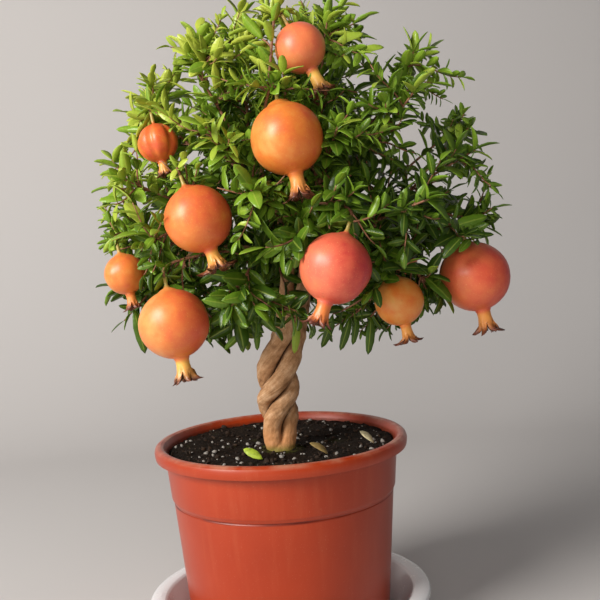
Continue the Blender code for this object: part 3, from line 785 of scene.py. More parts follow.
draw = random.Random(12)
sprays = []
for way in [way for way in even_ways(SPRAYS + 5, 0.4) if way.z > -0.80][:SPRAYS]:
    sprays.append(place_spray(way, [(spray.base, spray.tip) for spray in sprays], draw))
for number, spray in enumerate(sprays, 1):
    low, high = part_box(f"spray_{number:02d}")
    if not all(a - 0.001 < value < b + 0.001 for a, value, b in zip(low, spray.tip, high)):
        print("spray", number, "isn't where the solid is")
print(len(sprays), "sprays placed")

# %% [markdown]
# The trunk's three stems wind round each other like a right-handed rope, tightest in the trunk's middle.
# Above the trunk each stem becomes a limb that curves out into the crown. Each tip, of a spray or a fruit's
# stalk, is then joined to the nearest wood that points its way, on a smooth curve, and the wood thickens
# with the number of tips it carries.

# %% Where the wood runs
STEM_RADIUS = 0.0073
STEM_CIRCLE = 0.0096
STEM_CIRCLE_FOOT = 0.0042
TWIST_PITCH = 0.057
TRUNK_TOP = POT_TOP + 0.075
TRUNK_LEAN = 0.010
TWIG_RADIUS = 0.0010
LIMB_TURNS = (172, 68, -48)
TIGHT_HEIGHT = POT_TOP + 0.0285

Joint = namedtuple("Joint", "point way below")


def trunk_axis(height):
    """Centre of the trunk at a height: upright in the soil, then leaning right."""
    rise = max(0, (height - SOIL_TOP) / (TRUNK_TOP - SOIL_TOP))
    return Vector((TRUNK_LEAN * rise ** 4 - 0.0008, 0, height))


def twist(height):
    """How far the stems have turned at a height. They wind tightest in the middle of the trunk."""
    past = height - TIGHT_HEIGHT
    loose, span = (0.35, 0.01727) if past > 0 else (0.06, 0.0145)
    wound = loose * past + (1 - loose) * span * math.tanh(past / span)
    return math.tau * ((0.007 + wound) / TWIST_PITCH - 0.25)


def stem_point(stem, height):
    """Centre of a stem at a height. The stems spread from the foot and draw in again at the top."""
    turn = twist(height) - math.tau * stem / 3
    rise = clamp((height - SOIL_TOP) / (TRUNK_TOP - SOIL_TOP))
    opening = math.sin(math.pi * min(rise / 0.72, 1) / 2)
    circle = STEM_CIRCLE_FOOT + (STEM_CIRCLE - STEM_CIRCLE_FOOT) * opening
    circle -= 0.0022 * max(rise - 0.72, 0) / 0.28
    return trunk_axis(height) + Vector((math.cos(turn), math.sin(turn), 0)) * circle


def arc(start, start_way, end, end_way, steps, hook=1.0):
    """A smooth curve that leaves start along start_way and reaches end along end_way, over a hook at most."""
    reach = 0.38 * (end - start).length
    last = min(reach, hook)
    return interpolate_bezier(start, start + start_way * reach, end - end_way * last, end, steps + 1)


def limb_run(stem, steps=6):
    top = stem_point(stem, TRUNK_TOP)
    way = (top - stem_point(stem, TRUNK_TOP - 0.003)).normalized()
    turn = math.radians(LIMB_TURNS[stem])
    out = Vector((math.cos(turn), math.sin(turn), 0.75)).normalized()
    end = CROWN_CENTRE + out * crown_reach(out) * 0.42
    return arc(top, way, end, out, steps)


def add_run(joints, points, below):
    """Add a joint for each point after the first, each on top of the one before."""
    for i in range(1, len(points)):
        after = points[min(i + 1, len(points) - 1)]
        joints.append(Joint(points[i], (after - points[i - 1]).normalized(), below))
        below = len(joints) - 1


def grow(tips, twigs):
    """Join each tip to the wood grown so far.

    Gives the runs, each as its joints' numbers and a smooth line, and how many tips each joint carries.
    """
    joints = []
    runs = []
    for stem in range(3):
        limb = limb_run(stem)
        joints.append(Joint(limb[0], (limb[1] - limb[0]).normalized(), None))
        add_run(joints, limb, len(joints) - 1)
    start = trunk_axis(TRUNK_TOP)
    for point, way in sorted(tips, key=lambda tip: (tip[0] - start).length):
        hangs = way.z < -0.5
        hook = 0.012 if hangs else 1.0
        before = point - way * 0.003

        def cost(joint):
            gap = point - joint.point
            bend = gap.normalized().dot(joint.way)
            shallow = (joint.point - CROWN_CENTRE).length - (point - CROWN_CENTRE).length + 0.030
            hang = 3.0 * max(shallow, 0) if hangs else 0
            return gap.length * (1.7 - bend) + 0.25 * (joint.point - start).length + hang

        others = [twig for twig in twigs if (twig[0] - point).length > 0.0003]
        for chosen in sorted(range(len(joints)), key=lambda i: cost(joints[i])):
            base = joints[chosen]
            run = [*arc(base.point, base.way, before, way, 3, hook), point]
            path = [a.lerp(b, i / 4) for a, b in zip(run, run[1:]) for i in range(4)][:-4]
            if clears_fruit(path, 0.0022) and clears_twigs([*path, point], others, 0.0040):
                break
        first_new = len(joints)
        add_run(joints, run, chosen)
        smooth = [*arc(base.point, base.way, before, way, 12, hook), point]
        runs.append(([chosen, *range(first_new, len(joints))], smooth))
    loads = Counter()
    for numbers, smooth in runs:
        number = numbers[-1]
        while number is not None:
            loads[number] += 1
            number = joints[number].below
    return runs, loads


twigs = [(spray.base, spray.tip) for spray in sprays]
tips = [(spray.base, spray.heading) for spray in sprays]
tips += [(stalk_end(fruit), fruit.axis) for fruit in fruits]
runs, loads = grow(tips, twigs)
print(len(runs), "branches, and the thickest wood carries", max(loads.values()), "of them")

# %% [markdown]
# Wood that has grown together has no sharp seams. The three stems are swept as tubes, with a heart between
# them and a flared foot below. All of it is joined and remeshed with fine voxels, which fuses it the way
# real stems graft, and a light smoothing softens the creases.

# %% Trunk and limbs
TRUNK_STEPS = 70
LIMB_STEPS = 24
LIMB_END_RADIUS = 0.0030
VOXEL = 0.00066
HEART_RADII = [0.0062] * 6 + [0.003]


def swept(name, points, radii, sides):
    """A tapering tube with closed ends along a smooth line of points."""
    curve = bpy.data.curves.new(name, "CURVE")
    curve.dimensions = "3D"
    curve.bevel_depth = 1
    curve.bevel_resolution = (sides - 4) // 2
    curve.use_fill_caps = True
    line = curve.splines.new("POLY")
    line.points.add(len(points) - 1)
    for knot, point, radius in zip(line.points, points, radii):
        knot.co = (*point, 1)
        knot.radius = radius
    pick(linked(name, curve))
    bpy.ops.object.convert(target="MESH")
    tube = bpy.context.object
    merge_points(tube, 0.000002, outwards=False)
    return tube


def stem_radius(height):
    """Stems bulge a little where they press past each other."""
    return STEM_RADIUS * (1 + 0.035 * math.sin(height * 310) + 0.03 * math.sin(height * 120 + 1))


stems = []
heights = [mix(SOIL_TOP - 0.006, TRUNK_TOP, i / TRUNK_STEPS) for i in range(TRUNK_STEPS + 1)]
for stem in range(3):
    line = [stem_point(stem, height) for height in heights] + limb_run(stem, LIMB_STEPS)[1:]
    radii = [stem_radius(height) for height in heights]
    radii += [mix(STEM_RADIUS, LIMB_END_RADIUS, ((i + 1) / LIMB_STEPS) ** 0.6) for i in range(LIMB_STEPS)]
    stems.append(swept("stem", line, radii, 16))
heart = [trunk_axis(mix(SOIL_TOP - 0.02, TRUNK_TOP, i / 6)) for i in range(7)]
stems.append(swept("heart", heart, HEART_RADII, 12))
foot_outline = [(POINT, SOIL_TOP + 0.012), (0.0080, SOIL_TOP + 0.010), (0.0102, SOIL_TOP + 0.005)]
foot_outline += [(0.0115, SOIL_TOP + 0.001), (0.0115, SOIL_TOP - 0.028), (POINT, SOIL_TOP - 0.028)]
stems.append(turned("foot", foot_outline, 32))
trunk = joined("trunk_and_branches", stems)
fuse = trunk.modifiers.new("fuse", "REMESH")
fuse.mode = "VOXEL"
fuse.voxel_size = VOXEL
soften = trunk.modifiers.new("soften", "SMOOTH")
soften.factor = 0.5
soften.iterations = 3
apply_modifiers(trunk)
print("trunk faces", len(trunk.data.polygons))

# %% [markdown]
# Bark patterns follow the stems, so they need coordinates that wind with them. For each point of the trunk
# an attribute holds its place after the twist is undone, and another tells how deep it lies in a crease,
# where the finish paints shade.
# The branches are plain tapering tubes whose roots are sunk in the limbs. On them a third attribute tells
# how thin the wood is, because young twigs are redder than old wood.

# %% Branches and bark coordinates
CREASE_DEPTH = 0.0024


def branch_radius(load):
    return TWIG_RADIUS * max(load, 1) ** 0.48


def put_numbers(piece, name, values):
    """Store one number for each point of a piece, or the same number for all."""
    layer = piece.data.attributes.new(name, "FLOAT", "POINT")
    if not isinstance(values, list):
        values = [values] * len(piece.data.vertices)
    layer.data.foreach_set("value", values)


def put_grain(piece, place_of):
    """Store where each point of a piece lies along and across the wood's grain."""
    layer = piece.data.attributes.new("grain", "FLOAT_VECTOR", "POINT")
    layer.data.foreach_set("vector", [part for vertex in piece.data.vertices for part in place_of(vertex.co)])


def from_axis(spot):
    """The way from the trunk's axis to a place, laid flat."""
    axis = trunk_axis(min(spot.z, TRUNK_TOP))
    return Vector((spot.x - axis.x, spot.y - axis.y, 0))


def untwisted(spot):
    """A place with the trunk's winding undone, squeezed along the grain."""
    flat = Matrix.Rotation(-twist(min(spot.z, TRUNK_TOP)), 3, "Z") @ from_axis(spot)
    return Vector((flat.x, flat.y, spot.z * 0.30))


def crease_depth(spot):
    """0 on the outside of a stem, 1 where two stems meet."""
    out = from_axis(spot)
    turn = math.atan2(out.y, out.x) - twist(min(spot.z, TRUNK_TOP))
    off_stem = abs((math.degrees(turn) + 60) % 120 - 60)
    above_foot = min(max((spot.z - SOIL_TOP - 0.004) / 0.012, 0.15), 1)
    below_limbs = clamp((TRUNK_TOP + 0.010 - spot.z) / 0.012)
    return clamp((off_stem - 43) / 17) * above_foot * below_limbs


def weather(vertex):
    """Press the creases in and add the lumps of old wood."""
    spot = vertex.co.copy()
    rough = noise.noise(spot * 95) * 0.0009 + noise.noise(spot * 280) * 0.0004
    fade = clamp((TRUNK_TOP + 0.02 - spot.z) / 0.02)
    vertex.co += from_axis(spot).normalized() * (rough - CREASE_DEPTH * crease_depth(spot) ** 1.5) * fade


crease_shade = [crease_depth(vertex.co) for vertex in trunk.data.vertices]
for vertex in trunk.data.vertices:
    weather(vertex)
put_grain(trunk, untwisted)
put_numbers(trunk, "crease", crease_shade)
put_numbers(trunk, "thin", 0.0)
boughs = [trunk]
for numbers, smooth in runs:
    start_radius = branch_radius(loads[numbers[1]])
    end_radius = branch_radius(loads[numbers[-1]])
    radii = [mix(start_radius, end_radius, i / (len(smooth) - 1)) for i in range(len(smooth))]
    bough = swept("branch", smooth, radii, 8 if start_radius > 0.0018 else 6)
    put_grain(bough, lambda spot: spot * 0.6)
    put_numbers(bough, "crease", 0.0)
    put_numbers(bough, "thin", clamp((0.0030 - start_radius) / 0.0018))
    boughs.append(bough)
wood = joined("trunk_and_branches", boughs)
wood.data.shade_smooth()
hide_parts("wood")
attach(wood, "root")
print("wood faces", len(wood.data.polygons))

# %% [markdown]
# Old pomegranate bark is grey tan, cracked along the grain, and rusty where soil splashes it. The creases
# between the stems are painted nearly black as painted shade, and moss creeps up the foot. Noise that is read
# from the untwisted coordinates gives fibres that wind with the stems, which noise on plain coordinates can't
# do.

# %% Bark finish
bark = Finish("bark", Specular_IOR_Level=0.35)
wood_height = bark.part("Z")
fibre = bark.cloud(380, 6, 0.65, bark.attribute("grain", "Vector"))
patch = bark.cloud(120, 4, 0.6)
flake = bark.cloud(700, 4, 0.6)
tan_stops = ((0.34, (0.250, 0.116, 0.046)), (0.50, (0.505, 0.270, 0.126)), (0.66, (0.740, 0.475, 0.280)))
tan = (0.45 * fibre + 0.55 * patch).ramp(*tan_stops)
rust = 0.80 * (1 - wood_height.step(SOIL_TOP + 0.006, SOIL_TOP + 0.034))
rusty = rust.blend(tan, (0.62, 0.270, 0.100))
foot_moss = 0.85 * (1 - (wood_height + 0.004 * patch).step(SOIL_TOP + 0.003, SOIL_TOP + 0.010))
mossy = foot_moss.blend(rusty, (0.150, 0.150, 0.020))
# Painted shade: the creases between the stems are darkened nearly to black.
shaded = bark.attribute("crease").step(0.30, 0.95).blend(mossy, (0.040, 0.013, 0.004))
red_twig = flake.ramp((0.35, (0.150, 0.055, 0.028)), (0.70, (0.330, 0.160, 0.085)))
old_and_young = bark.attribute("thin").blend(shaded, red_twig)
bark.wear(old_and_young, 0.62 + 0.2 * fibre, fibre + 0.6 * flake, depth=0.0012, strength=0.5)
bark.cover(wood)
print("bark finish", len(bark.tree.nodes), "nodes")

# %% [markdown]
# A pomegranate is a slightly angular ball. Above, it draws out to its stalk. Below, it ends in a short tube
# that opens in six pointed lobes round a tuft of dry stamens. The ball is drawn ring by ring, and the last
# rings are then moved, point by point, so that they rise between the lobes and reach out at their tips.

# %% Fruit shape
FRUIT_SIDES = 48
LOBES = 6
BALL_RINGS = 18
WAIST = 1.05
# How far along a lobe its outer and inner rings lie, and how wide each stands
LOBE_RINGS = ((0.25, 1.1), (0.5, 1.1), (0.75, 1.1), (1.0, 1.1), (0.97, 0.92), (0.6, 0.92), (0.3, 0.92))

# How red the rind is at the left and at the right, which also paints the paler lit side and the deeper red
# shaded side, and towards the top, how far the lobes spread, how drawn out the top is, how creased the ball
# is, how red the calyx is, how pink the rind is, and the calyx tube's length in radii
Look = namedtuple("Look", "left right top spread peak crease crown_red pink tube")
LOOKS = {
    "top": Look(0.44, 0.52, 0.1, 1.4, 0.0, 0.01, 0.0, 0.75, 0.56),
    "upper_middle": Look(0.38, 0.6, 0.02, 0.8, 1.0, 0.01, 0.6, 0.0, 0.28),
    "upper_left": Look(0.55, 0.66, 0.0, 0.8, 0.0, 0.17, 0.4, 0.0, 0.34),
    "middle_left": Look(0.44, 0.72, 0.05, 1.4, 0.3, 0.012, 0.3, 0.15, 0.22),
    "far_left": Look(0.38, 0.52, 0.05, 1.2, 0.6, 0.02, 0.8, 0.1, 0.32),
    "lower_left": Look(0.32, 0.72, -0.04, 1.0, 0.4, 0.012, 0.1, 0.25, 0.26),
    "lower_middle": Look(0.50, 1.00, 0.0, 0.70, 0.2, 0.014, 1.0, 1.0, 0.28),
    # Painted light: this fruit's rind is paler to make up for the shadow another fruit casts on it.
    "lower_right": Look(0.36, 0.40, 0.02, 1.5, 0.8, 0.01, 0.5, 0.0, 0.3),
    "far_right": Look(0.54, 0.84, 0.0, 0.80, 0.1, 0.018, 0.6, 0.5, 0.26),
    "back_left": Look(0.5, 0.7, 0.1, 0.7, 0.3, 0.012, 0.3, 0.4, 0.26),
    "back_right": Look(0.7, 0.45, 0.05, 0.9, 0.2, 0.012, 0.6, 0.6, 0.26),
    "back_low": Look(0.6, 0.5, 0.1, 0.5, 0.3, 0.012, 0.2, 0.2, 0.26),
}


def neck_radius(radius, look):
    return 0.0008 + (0.135 + 0.10 * look.tube) * radius


def lobe_length(radius, look):
    return 0.0012 + (0.28 + 0.17 * look.spread) * radius


def fruit_outline(radius, look):
    """Rings from the stalk's end down to the calyx cup, and the number of the first ring of the lobes."""
    end = radius + STALK_RISE
    neck = neck_radius(radius, look)
    waist = -radius * WAIST
    split = -radius * (WAIST + look.tube)
    rings = [(0.0001, end), (0.0013, end), (0.0011, radius + 0.0060), (0.0013, radius * 1.07 + 0.0016)]
    rings += [(radius * (0.075 + 0.05 * look.peak), radius * (1.045 + 0.05 * look.peak))]
    rings += [(radius * (0.15 + 0.13 * look.peak), radius * (1.012 + 0.012 * look.peak))]
    for i in range(BALL_RINGS):
        turn = math.radians(mix(76 - 7 * look.peak, -77, i / (BALL_RINGS - 1)))
        rings.append((math.cos(turn) * radius, math.sin(turn) * radius))
    rings += [(neck * 1.16, -radius * 1.0), (neck * 1.02, waist), (neck, mix(waist, split, 0.5))]
    rings += [(neck * 1.1, split)]
    first = len(rings)
    rings += [(neck, split - 0.0001 * (i + 1)) for i in range(len(LOBE_RINGS))]
    rings += [(neck * 0.85, split), (neck * 0.6, waist - 0.0004), (0.0001, waist)]
    return rings, first


def shape_lobes(piece, first, radius, look, draw):
    """Bend the calyx's last rings into pointed lobes that part between each other."""
    neck = neck_radius(radius, look)
    split = -radius * (WAIST + look.tube)
    length = lobe_length(radius, look)
    seed = 50 * draw.random()
    openings = [min(look.spread * draw.uniform(0.6, 1.3), 1.5) for lobe in range(LOBES)]
    bends = [math.radians(mix(20, 84, opening)) for opening in openings]
    for ring, (share, wide) in enumerate(LOBE_RINGS, first):
        for side in range(FRUIT_SIDES):
            vertex = piece.data.vertices[ring * FRUIT_SIDES + side]
            across = side / FRUIT_SIDES * LOBES
            middle = 1 - abs(across % 1 - 0.5) * 2
            bend = mix(0.35, bends[int(across)], middle)
            along = share * (0.16 + 0.84 * middle ** 0.6)
            ripple = share * length * 0.45 * noise.noise(Vector((side * 0.35, share * 2.5, seed)))
            out = neck * wide + length * (1 - math.cos(bend * along)) / bend + ripple
            turn = math.atan2(vertex.co.y, vertex.co.x)
            drop = length * math.sin(bend * along) / bend
            vertex.co = (out * math.cos(turn), out * math.sin(turn), split - drop)


def shape_ball(piece, radius, crease, seed):
    """Give the ball soft flats and dents, as no fruit is a true ball."""
    for vertex in piece.data.vertices:
        if abs(vertex.co.z) > radius * 1.02:
            continue
        turn = math.atan2(vertex.co.y, vertex.co.x)
        girth = math.cos(math.asin(max(-1, min(1, vertex.co.z / (radius * 1.03)))))
        bulge = crease * (0.4 - 1.6 * (1 - abs(math.cos(LOBES / 2 * turn + seed))) ** 3) * girth
        bulge += 0.045 * noise.noise(vertex.co / radius * 1.1 + Vector((seed * 3, 0, 0))) * girth
        vertex.co.x *= 1 + bulge
        vertex.co.y *= 1 + bulge


print("a fruit's surface has", len(fruit_outline(0.02, LOOKS["top"])[0]), "rings")

# %% [markdown]
# Stamens are a tuft of short bent threads that stand in the calyx cup and dry to a dark brown. One thread
# is a thin bent tube, and many of them, drawn at random, fan out from the cup.

# %% Stamens
STAMENS = 22
dry = Finish("dry_stamen")
dry.wear(dry.cloud(1500, 2).ramp((0.3, (0.035, 0.012, 0.008)), (0.7, (0.17, 0.06, 0.035))), 0.8)


def stamen_tuft(radius, look, draw):
    """A tuft of threads round the axis of a fruit, in the fruit's own place."""
    threads = []
    for i in range(STAMENS):
        turn = draw.uniform(0, math.tau)
        lean = draw.uniform(0.05, 0.45 + 0.4 * look.spread)
        length = radius * draw.uniform(0.26, 0.44)
        out = Vector((math.cos(turn), math.sin(turn), 0))
        start = Vector((0, 0, -radius * (1.00 + look.tube))) + out * radius * 0.07
        middle = start + (out * lean * 0.3 - UP) * length * 0.5
        end = middle + (out * lean * 1.6 - UP) * length * 0.5
        threads.append(swept("thread", [start, middle, end], [0.00030, 0.00024, 0.00040], 4))
    tuft = joined("stamens", threads)
    dry.cover(tuft)
    return tuft


print("stamens in a fruit", STAMENS)

# %% [markdown]
# The rind is glossy, and its colour runs from yellow over orange to red. On most fruit the left side, towards
# the window light, is paler and the right, shaded side deeper red, which is painted light and shade as well
# as blush. Some fruit have a pink bloom over that. Freckles, a few scars and a faint unevenness keep it from
# looking like plastic. The calyx is yellow or red, and withers to brown towards its tips. Attributes on the
# mesh say where the blush and painted shade, the calyx and the stalk are, so that one finish serves every
# fruit.

# %% Rind finish
rind = Finish("fruit_rind", IOR=1.45, Coat_Roughness=0.34, Coat_Weight=0.50)
mottle = rind.cloud(210, 5, 0.6)
freckle = rind.cloud(1300, 2, 0.5).step(0.63, 0.72)
scar = rind.cloud(120, 6, 0.75).step(0.66, 0.74)
# The blush also paints light and shade: paler on the lit left, deeper red on the shaded right.
ripeness_and_shade = rind.attribute("blush_and_shade") + 0.34 * (mottle - 0.5)
unripe_stops = ((0.0, (0.62, 0.44, 0.12)), (0.24, (0.78, 0.33, 0.075)), (0.44, (0.76, 0.205, 0.028)))
ripe_stops = ((0.66, (0.70, 0.110, 0.024)), (0.86, (0.60, 0.045, 0.026)), (1.0, (0.46, 0.016, 0.026)))
skin = ripeness_and_shade.ramp(*unripe_stops, *ripe_stops)
pinkness = rind.attribute("pink") * (0.50 - 0.38 * ripeness_and_shade.step(0.55, 0.95))
bloom = pinkness.blend(skin, (0.80, 0.165, 0.125))
freckled = (0.40 * freckle).blend(bloom, (0.84, 0.42, 0.16))
scarred = (0.60 * scar).blend(freckled, (0.26, 0.07, 0.015))
stalked = rind.attribute("stalk").blend(scarred, (0.40, 0.30, 0.07))
down_calyx = rind.attribute("calyx")
withered = down_calyx + 0.35 * (mottle - 0.5)
yellow_stops = ((0.0, (0.80, 0.26, 0.04)), (0.25, (0.84, 0.48, 0.09)), (0.60, (0.74, 0.36, 0.08)))
red_stops = ((0.0, (0.72, 0.14, 0.03)), (0.35, (0.76, 0.22, 0.05)), (0.65, (0.60, 0.17, 0.04)))
yellow_crown = withered.ramp(*yellow_stops, (0.92, (0.17, 0.050, 0.020)))
red_crown = withered.ramp(*red_stops, (0.95, (0.14, 0.035, 0.018)))
crown_skin = rind.attribute("crown_red").blend(yellow_crown, red_crown)
whole_skin = down_calyx.step(0.02, 0.20).blend(stalked, crown_skin)
rind.wear(whole_skin, 0.42 + 0.18 * mottle + 0.15 * scar, mottle + 0.6 * freckle, depth=0.0006, strength=0.22)
print("rind finish", len(rind.tree.nodes), "nodes")

# %% [markdown]
# Each fruit is first made at the origin with its calyx down, which keeps its shape easy to write. It is
# then turned and moved to where it hangs. The blush is worked out from the turned shape, since it also paints
# the lit and the shaded side, which depend on the side that a fruit shows and not on its own axis.

# %% Fruit, one by one
def blush_and_shade_at(way, look, seed):
    """How red the rind is: set at the left and the right, which also paints light and shade, changed towards
    the top, and patchy.
    """
    across = way.x * 0.5 + 0.5
    patch = noise.noise(way * 1.7 + Vector((seed, seed, 0)))
    fine = noise.noise(way * 5.0 + Vector((0, seed, seed)))
    # Painted light and shade: the left side, towards the lamp, is paler and the right deeper red.
    red = mix(look.left, look.right, across ** 1.3) + look.top * max(way.z, -0.4)
    return clamp(red + 0.18 * patch + 0.09 * fine)


def calyx_at(spot, radius, look):
    """0 on the ball, rising down the calyx's tube to 1 at the tips of its lobes."""
    down = -spot.z / radius
    out = math.hypot(spot.x, spot.y) / radius
    reach = down - 0.97 + 0.8 * max(out - 0.25, 0)
    full = 0.06 + look.tube + 0.85 * lobe_length(radius, look) / radius
    return 0 if down < 0.97 else min(reach / full, 1)


def make_fruit(number, name, centre, radius, axis):
    draw = random.Random(number + 40)
    look = LOOKS[name]
    rings, first = fruit_outline(radius, look)
    piece = turned(name, rings, FRUIT_SIDES, closed=False)
    shape_lobes(piece, first, radius, look, draw)
    shape_ball(piece, radius, look.crease, number * 1.7)
    place = Matrix.Translation(centre) @ (-axis).to_track_quat("Z", "Y").to_matrix().to_4x4()
    spots = [vertex.co.copy() for vertex in piece.data.vertices]
    ways = [(place @ spot - centre).normalized() for spot in spots]
    put_numbers(piece, "blush_and_shade", [blush_and_shade_at(way, look, number * 2.3) for way in ways])
    put_numbers(piece, "calyx", [calyx_at(spot, radius, look) for spot in spots])
    put_numbers(piece, "stalk", [clamp((spot.z / radius - 1.03) / 0.10) for spot in spots])
    put_numbers(piece, "crown_red", look.crown_red)
    put_numbers(piece, "pink", look.pink)
    rind.cover(piece)
    whole = joined("fruit_" + name + "_rind", [piece, stamen_tuft(radius, look, draw)])
    merge_points(whole)
    whole.matrix_world = place
    settled(whole)
    whole.data.shade_smooth()
    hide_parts("fruit_" + name)
    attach(whole, "root")
    return len(whole.data.polygons)


print("fruit faces", [make_fruit(number, *fruit) for number, fruit in enumerate(fruits)])

# %% [markdown]
# A pomegranate leaf is a narrow glossy blade on a very short stalk. It folds a little along its midrib and
# arches back. The model starts as a grid of five by two faces. Each row is moved to its width and height,
# and a Solidify modifier gives the blade its thickness. Three forms of it are enough for the whole tree.

# %% Leaf models
LEAF_LENGTH = 0.0235
LEAF_WIDTH_SHARE = 0.41
LEAF_THIN = 0.00035
# For each row of a leaf's points: how far along the leaf it lies, and its share of the full width
LEAF_ROWS = ((0.0, 0.05), (0.16, 0.56), (0.40, 0.97), (0.66, 0.95), (0.90, 0.58), (1.0, 0.05))


def leaf_model(name, arch, fold, wave):
    """A leaf one unit long along +X, with its upper face along +Z."""
    nothing_selected()
    faces = len(LEAF_ROWS) - 1
    bpy.ops.mesh.primitive_grid_add(x_subdivisions=faces, y_subdivisions=2, size=1, calc_uvs=True)
    leaf = bpy.context.object
    leaf.name = name
    for vertex in leaf.data.vertices:
        along, width = LEAF_ROWS[round((vertex.co.x + 0.5) * faces)]
        side = round(vertex.co.y * 2)
        half = width * LEAF_WIDTH_SHARE / 2
        lift = fold * half * abs(side) - arch * along ** 2 + wave * side * math.sin(along * 7)
        vertex.co = (along, side * half, lift)
    shell = leaf.modifiers.new("thickness", "SOLIDIFY")
    shell.thickness = LEAF_THIN / LEAF_LENGTH
    shell.offset = 0
    apply_modifiers(leaf)
    leaf.data.shade_smooth()
    return leaf


leaf_models = [
    leaf_model("leaf_flat", arch=0.10, fold=0.25, wave=0.004),
    leaf_model("leaf_arched", arch=0.26, fold=0.40, wave=0.010),
    leaf_model("leaf_waved", arch=0.16, fold=0.30, wave=0.022),
]
print("faces of a leaf:", [len(leaf.data.polygons) for leaf in leaf_models])

# %% [markdown]
# Leaves sit in opposite pairs on thin shoots, each pair turned a quarter from the last, and one leaf ends
# the shoot. The sprays' own leaves follow the draws of the solid model, so that they lie where its leaves
# do. All other shoots share one looser rule.

# %% Leaves on a shoot
PAIR_SPACING = 0.0125
SPRAY_PAIRS = 3


def frame_matrix(origin, forward, upward):
    """A matrix that stands at origin, with +X forward and +Z as near upward as it can be."""
    side = upward.cross(forward).normalized()
    top = forward.cross(side).normalized()
    turn = Matrix((forward, side, top)).transposed().to_4x4()
    return Matrix.Translation(origin) @ turn


def any_side(heading, draw):
    """A random way square to a heading."""
    return Matrix.Rotation(draw.uniform(0, math.tau), 3, heading) @ heading.orthogonal().normalized()


def next_side(side, heading, draw):
    """A quarter turn on, more or less, for the next pair of leaves."""
    return Matrix.Rotation(math.radians(90 + draw.uniform(-20, 20)), 3, heading) @ side


def pair_leaves(origin, heading, side, length, draw):
    """The two leaves of a pair, each as a matrix and a length."""
    leaves = []
    for out in (side, -side):
        spread = math.radians(draw.uniform(42, 66))
        forward = (heading * math.cos(spread) + out * math.sin(spread) + any_way(draw) * 0.10).normalized()
        upward = (heading + UP * 0.8 + any_way(draw) * 0.15).normalized()
        leaves.append((frame_matrix(origin, forward, upward), length * draw.uniform(0.85, 1.15)))
    return leaves


def shoot_leaves(line, spacing, length, draw, first=0.006):
    """Pairs of leaves along a shoot, smaller towards its tip, and a leaf at its end."""
    total = sum((b - a).length for a, b in zip(line, line[1:]))
    heading = (line[1] - line[0]).normalized()
    side = any_side(heading, draw)
    leaves = []
    along = first
    while along < total - 0.001:
        share = along / total * (len(line) - 1)
        i = min(int(share), len(line) - 2)
        origin = line[i].lerp(line[i + 1], share - i)
        heading = (line[i + 1] - line[i]).normalized()
        leaves += pair_leaves(origin, heading, side, length * mix(1.05, 0.72, along / total), draw)
        side = next_side(side, heading, draw)
        along += spacing * draw.uniform(0.8, 1.2)
    forward = (heading + any_way(draw) * 0.2).normalized()
    leaves.append((frame_matrix(line[-1], forward, UP + any_way(draw) * 0.3), length * 0.75))
    return leaves


def solid_leaves(number, spray):
    """The leaves that a spray has in the solid model, by the same draws."""
    draw = random.Random(number)
    heading = spray.heading
    side = any_side(heading, draw)
    leaves = []
    for i in range(SPRAY_PAIRS):
        behind = PAIR_SPACING * (SPRAY_PAIRS - 1 - i)
        origin = spray.base + heading * (SPRAY_LENGTH - 0.002 - behind)
        for place, out in ((2 * i, side), (2 * i + 1, -side)):
            own = random.Random(100 * number + place)
            spread = math.radians(own.uniform(44, 62))
            roll = Matrix.Rotation(own.uniform(-0.10, 0.10), 3, heading)
            forward = (heading * math.cos(spread) + roll @ out * math.sin(spread)).normalized()
            length = LEAF_LENGTH * own.uniform(0.80, 1.12)
            leaves.append((frame_matrix(origin, forward, heading + UP * 0.8), length))
        side = next_side(side, heading, draw)
    own = random.Random(100 * number + 2 * SPRAY_PAIRS)
    wander = any_way(own) * 0.06
    matrix = frame_matrix(spray.tip - heading * 0.002, (heading + wander).normalized(), UP + wander)
    leaves.append((matrix, LEAF_LENGTH * own.uniform(0.75, 1.0)))
    return leaves


print("leaves of a spray in the solid model", len(solid_leaves(1, sprays[0])))

# %% [markdown]
# Besides the sprays of the solid model, several hundred short shoots fill the crown. Their tips are spread
# evenly at several depths, and each grows from the nearest wood that lies further in. The crown is thinner
# at its upper right, and a few stray sprigs break its outline, at places read from the photograph. A shoot
# that would pass through a fruit or hide its face is left out. The branches that carry fruit get leaves
# too.

# %% Shoots
SHOOTS = 800
DEPTHS = (1.0, 0.80, 0.93, 0.62, 0.97, 0.72, 0.50)
THINNED = 0.57
SHOOT_LENGTH = 0.026

# Tips of the stray sprigs that break the crown's outline
STRAY_TIPS = [
    (-0.108, -0.020, 0.246), (-0.118, -0.010, 0.302), (-0.117, -0.015, 0.331), (-0.116, 0.000, 0.270),
    (-0.114, 0.010, 0.350), (-0.076, -0.015, 0.420), (-0.062, -0.010, 0.441), (-0.040, -0.030, 0.445),
    (-0.022, -0.045, 0.452), (-0.010, -0.030, 0.458), (0.006, -0.040, 0.460), (0.034, -0.020, 0.466),
    (-0.005, -0.060, 0.440), (-0.030, -0.060, 0.425), (0.062, -0.030, 0.460), (0.125, -0.010, 0.428),
    (0.148, -0.010, 0.408), (0.152, -0.010, 0.371), (0.164, -0.010, 0.333), (0.160, -0.015, 0.306),
    (0.088, -0.060, 0.347), (0.081, -0.030, 0.354), (0.092, -0.020, 0.342), (0.134, -0.010, 0.393),
    (0.126, -0.015, 0.404), (0.141, -0.010, 0.378), (0.112, -0.030, 0.400), (-0.094, -0.010, 0.395),
]


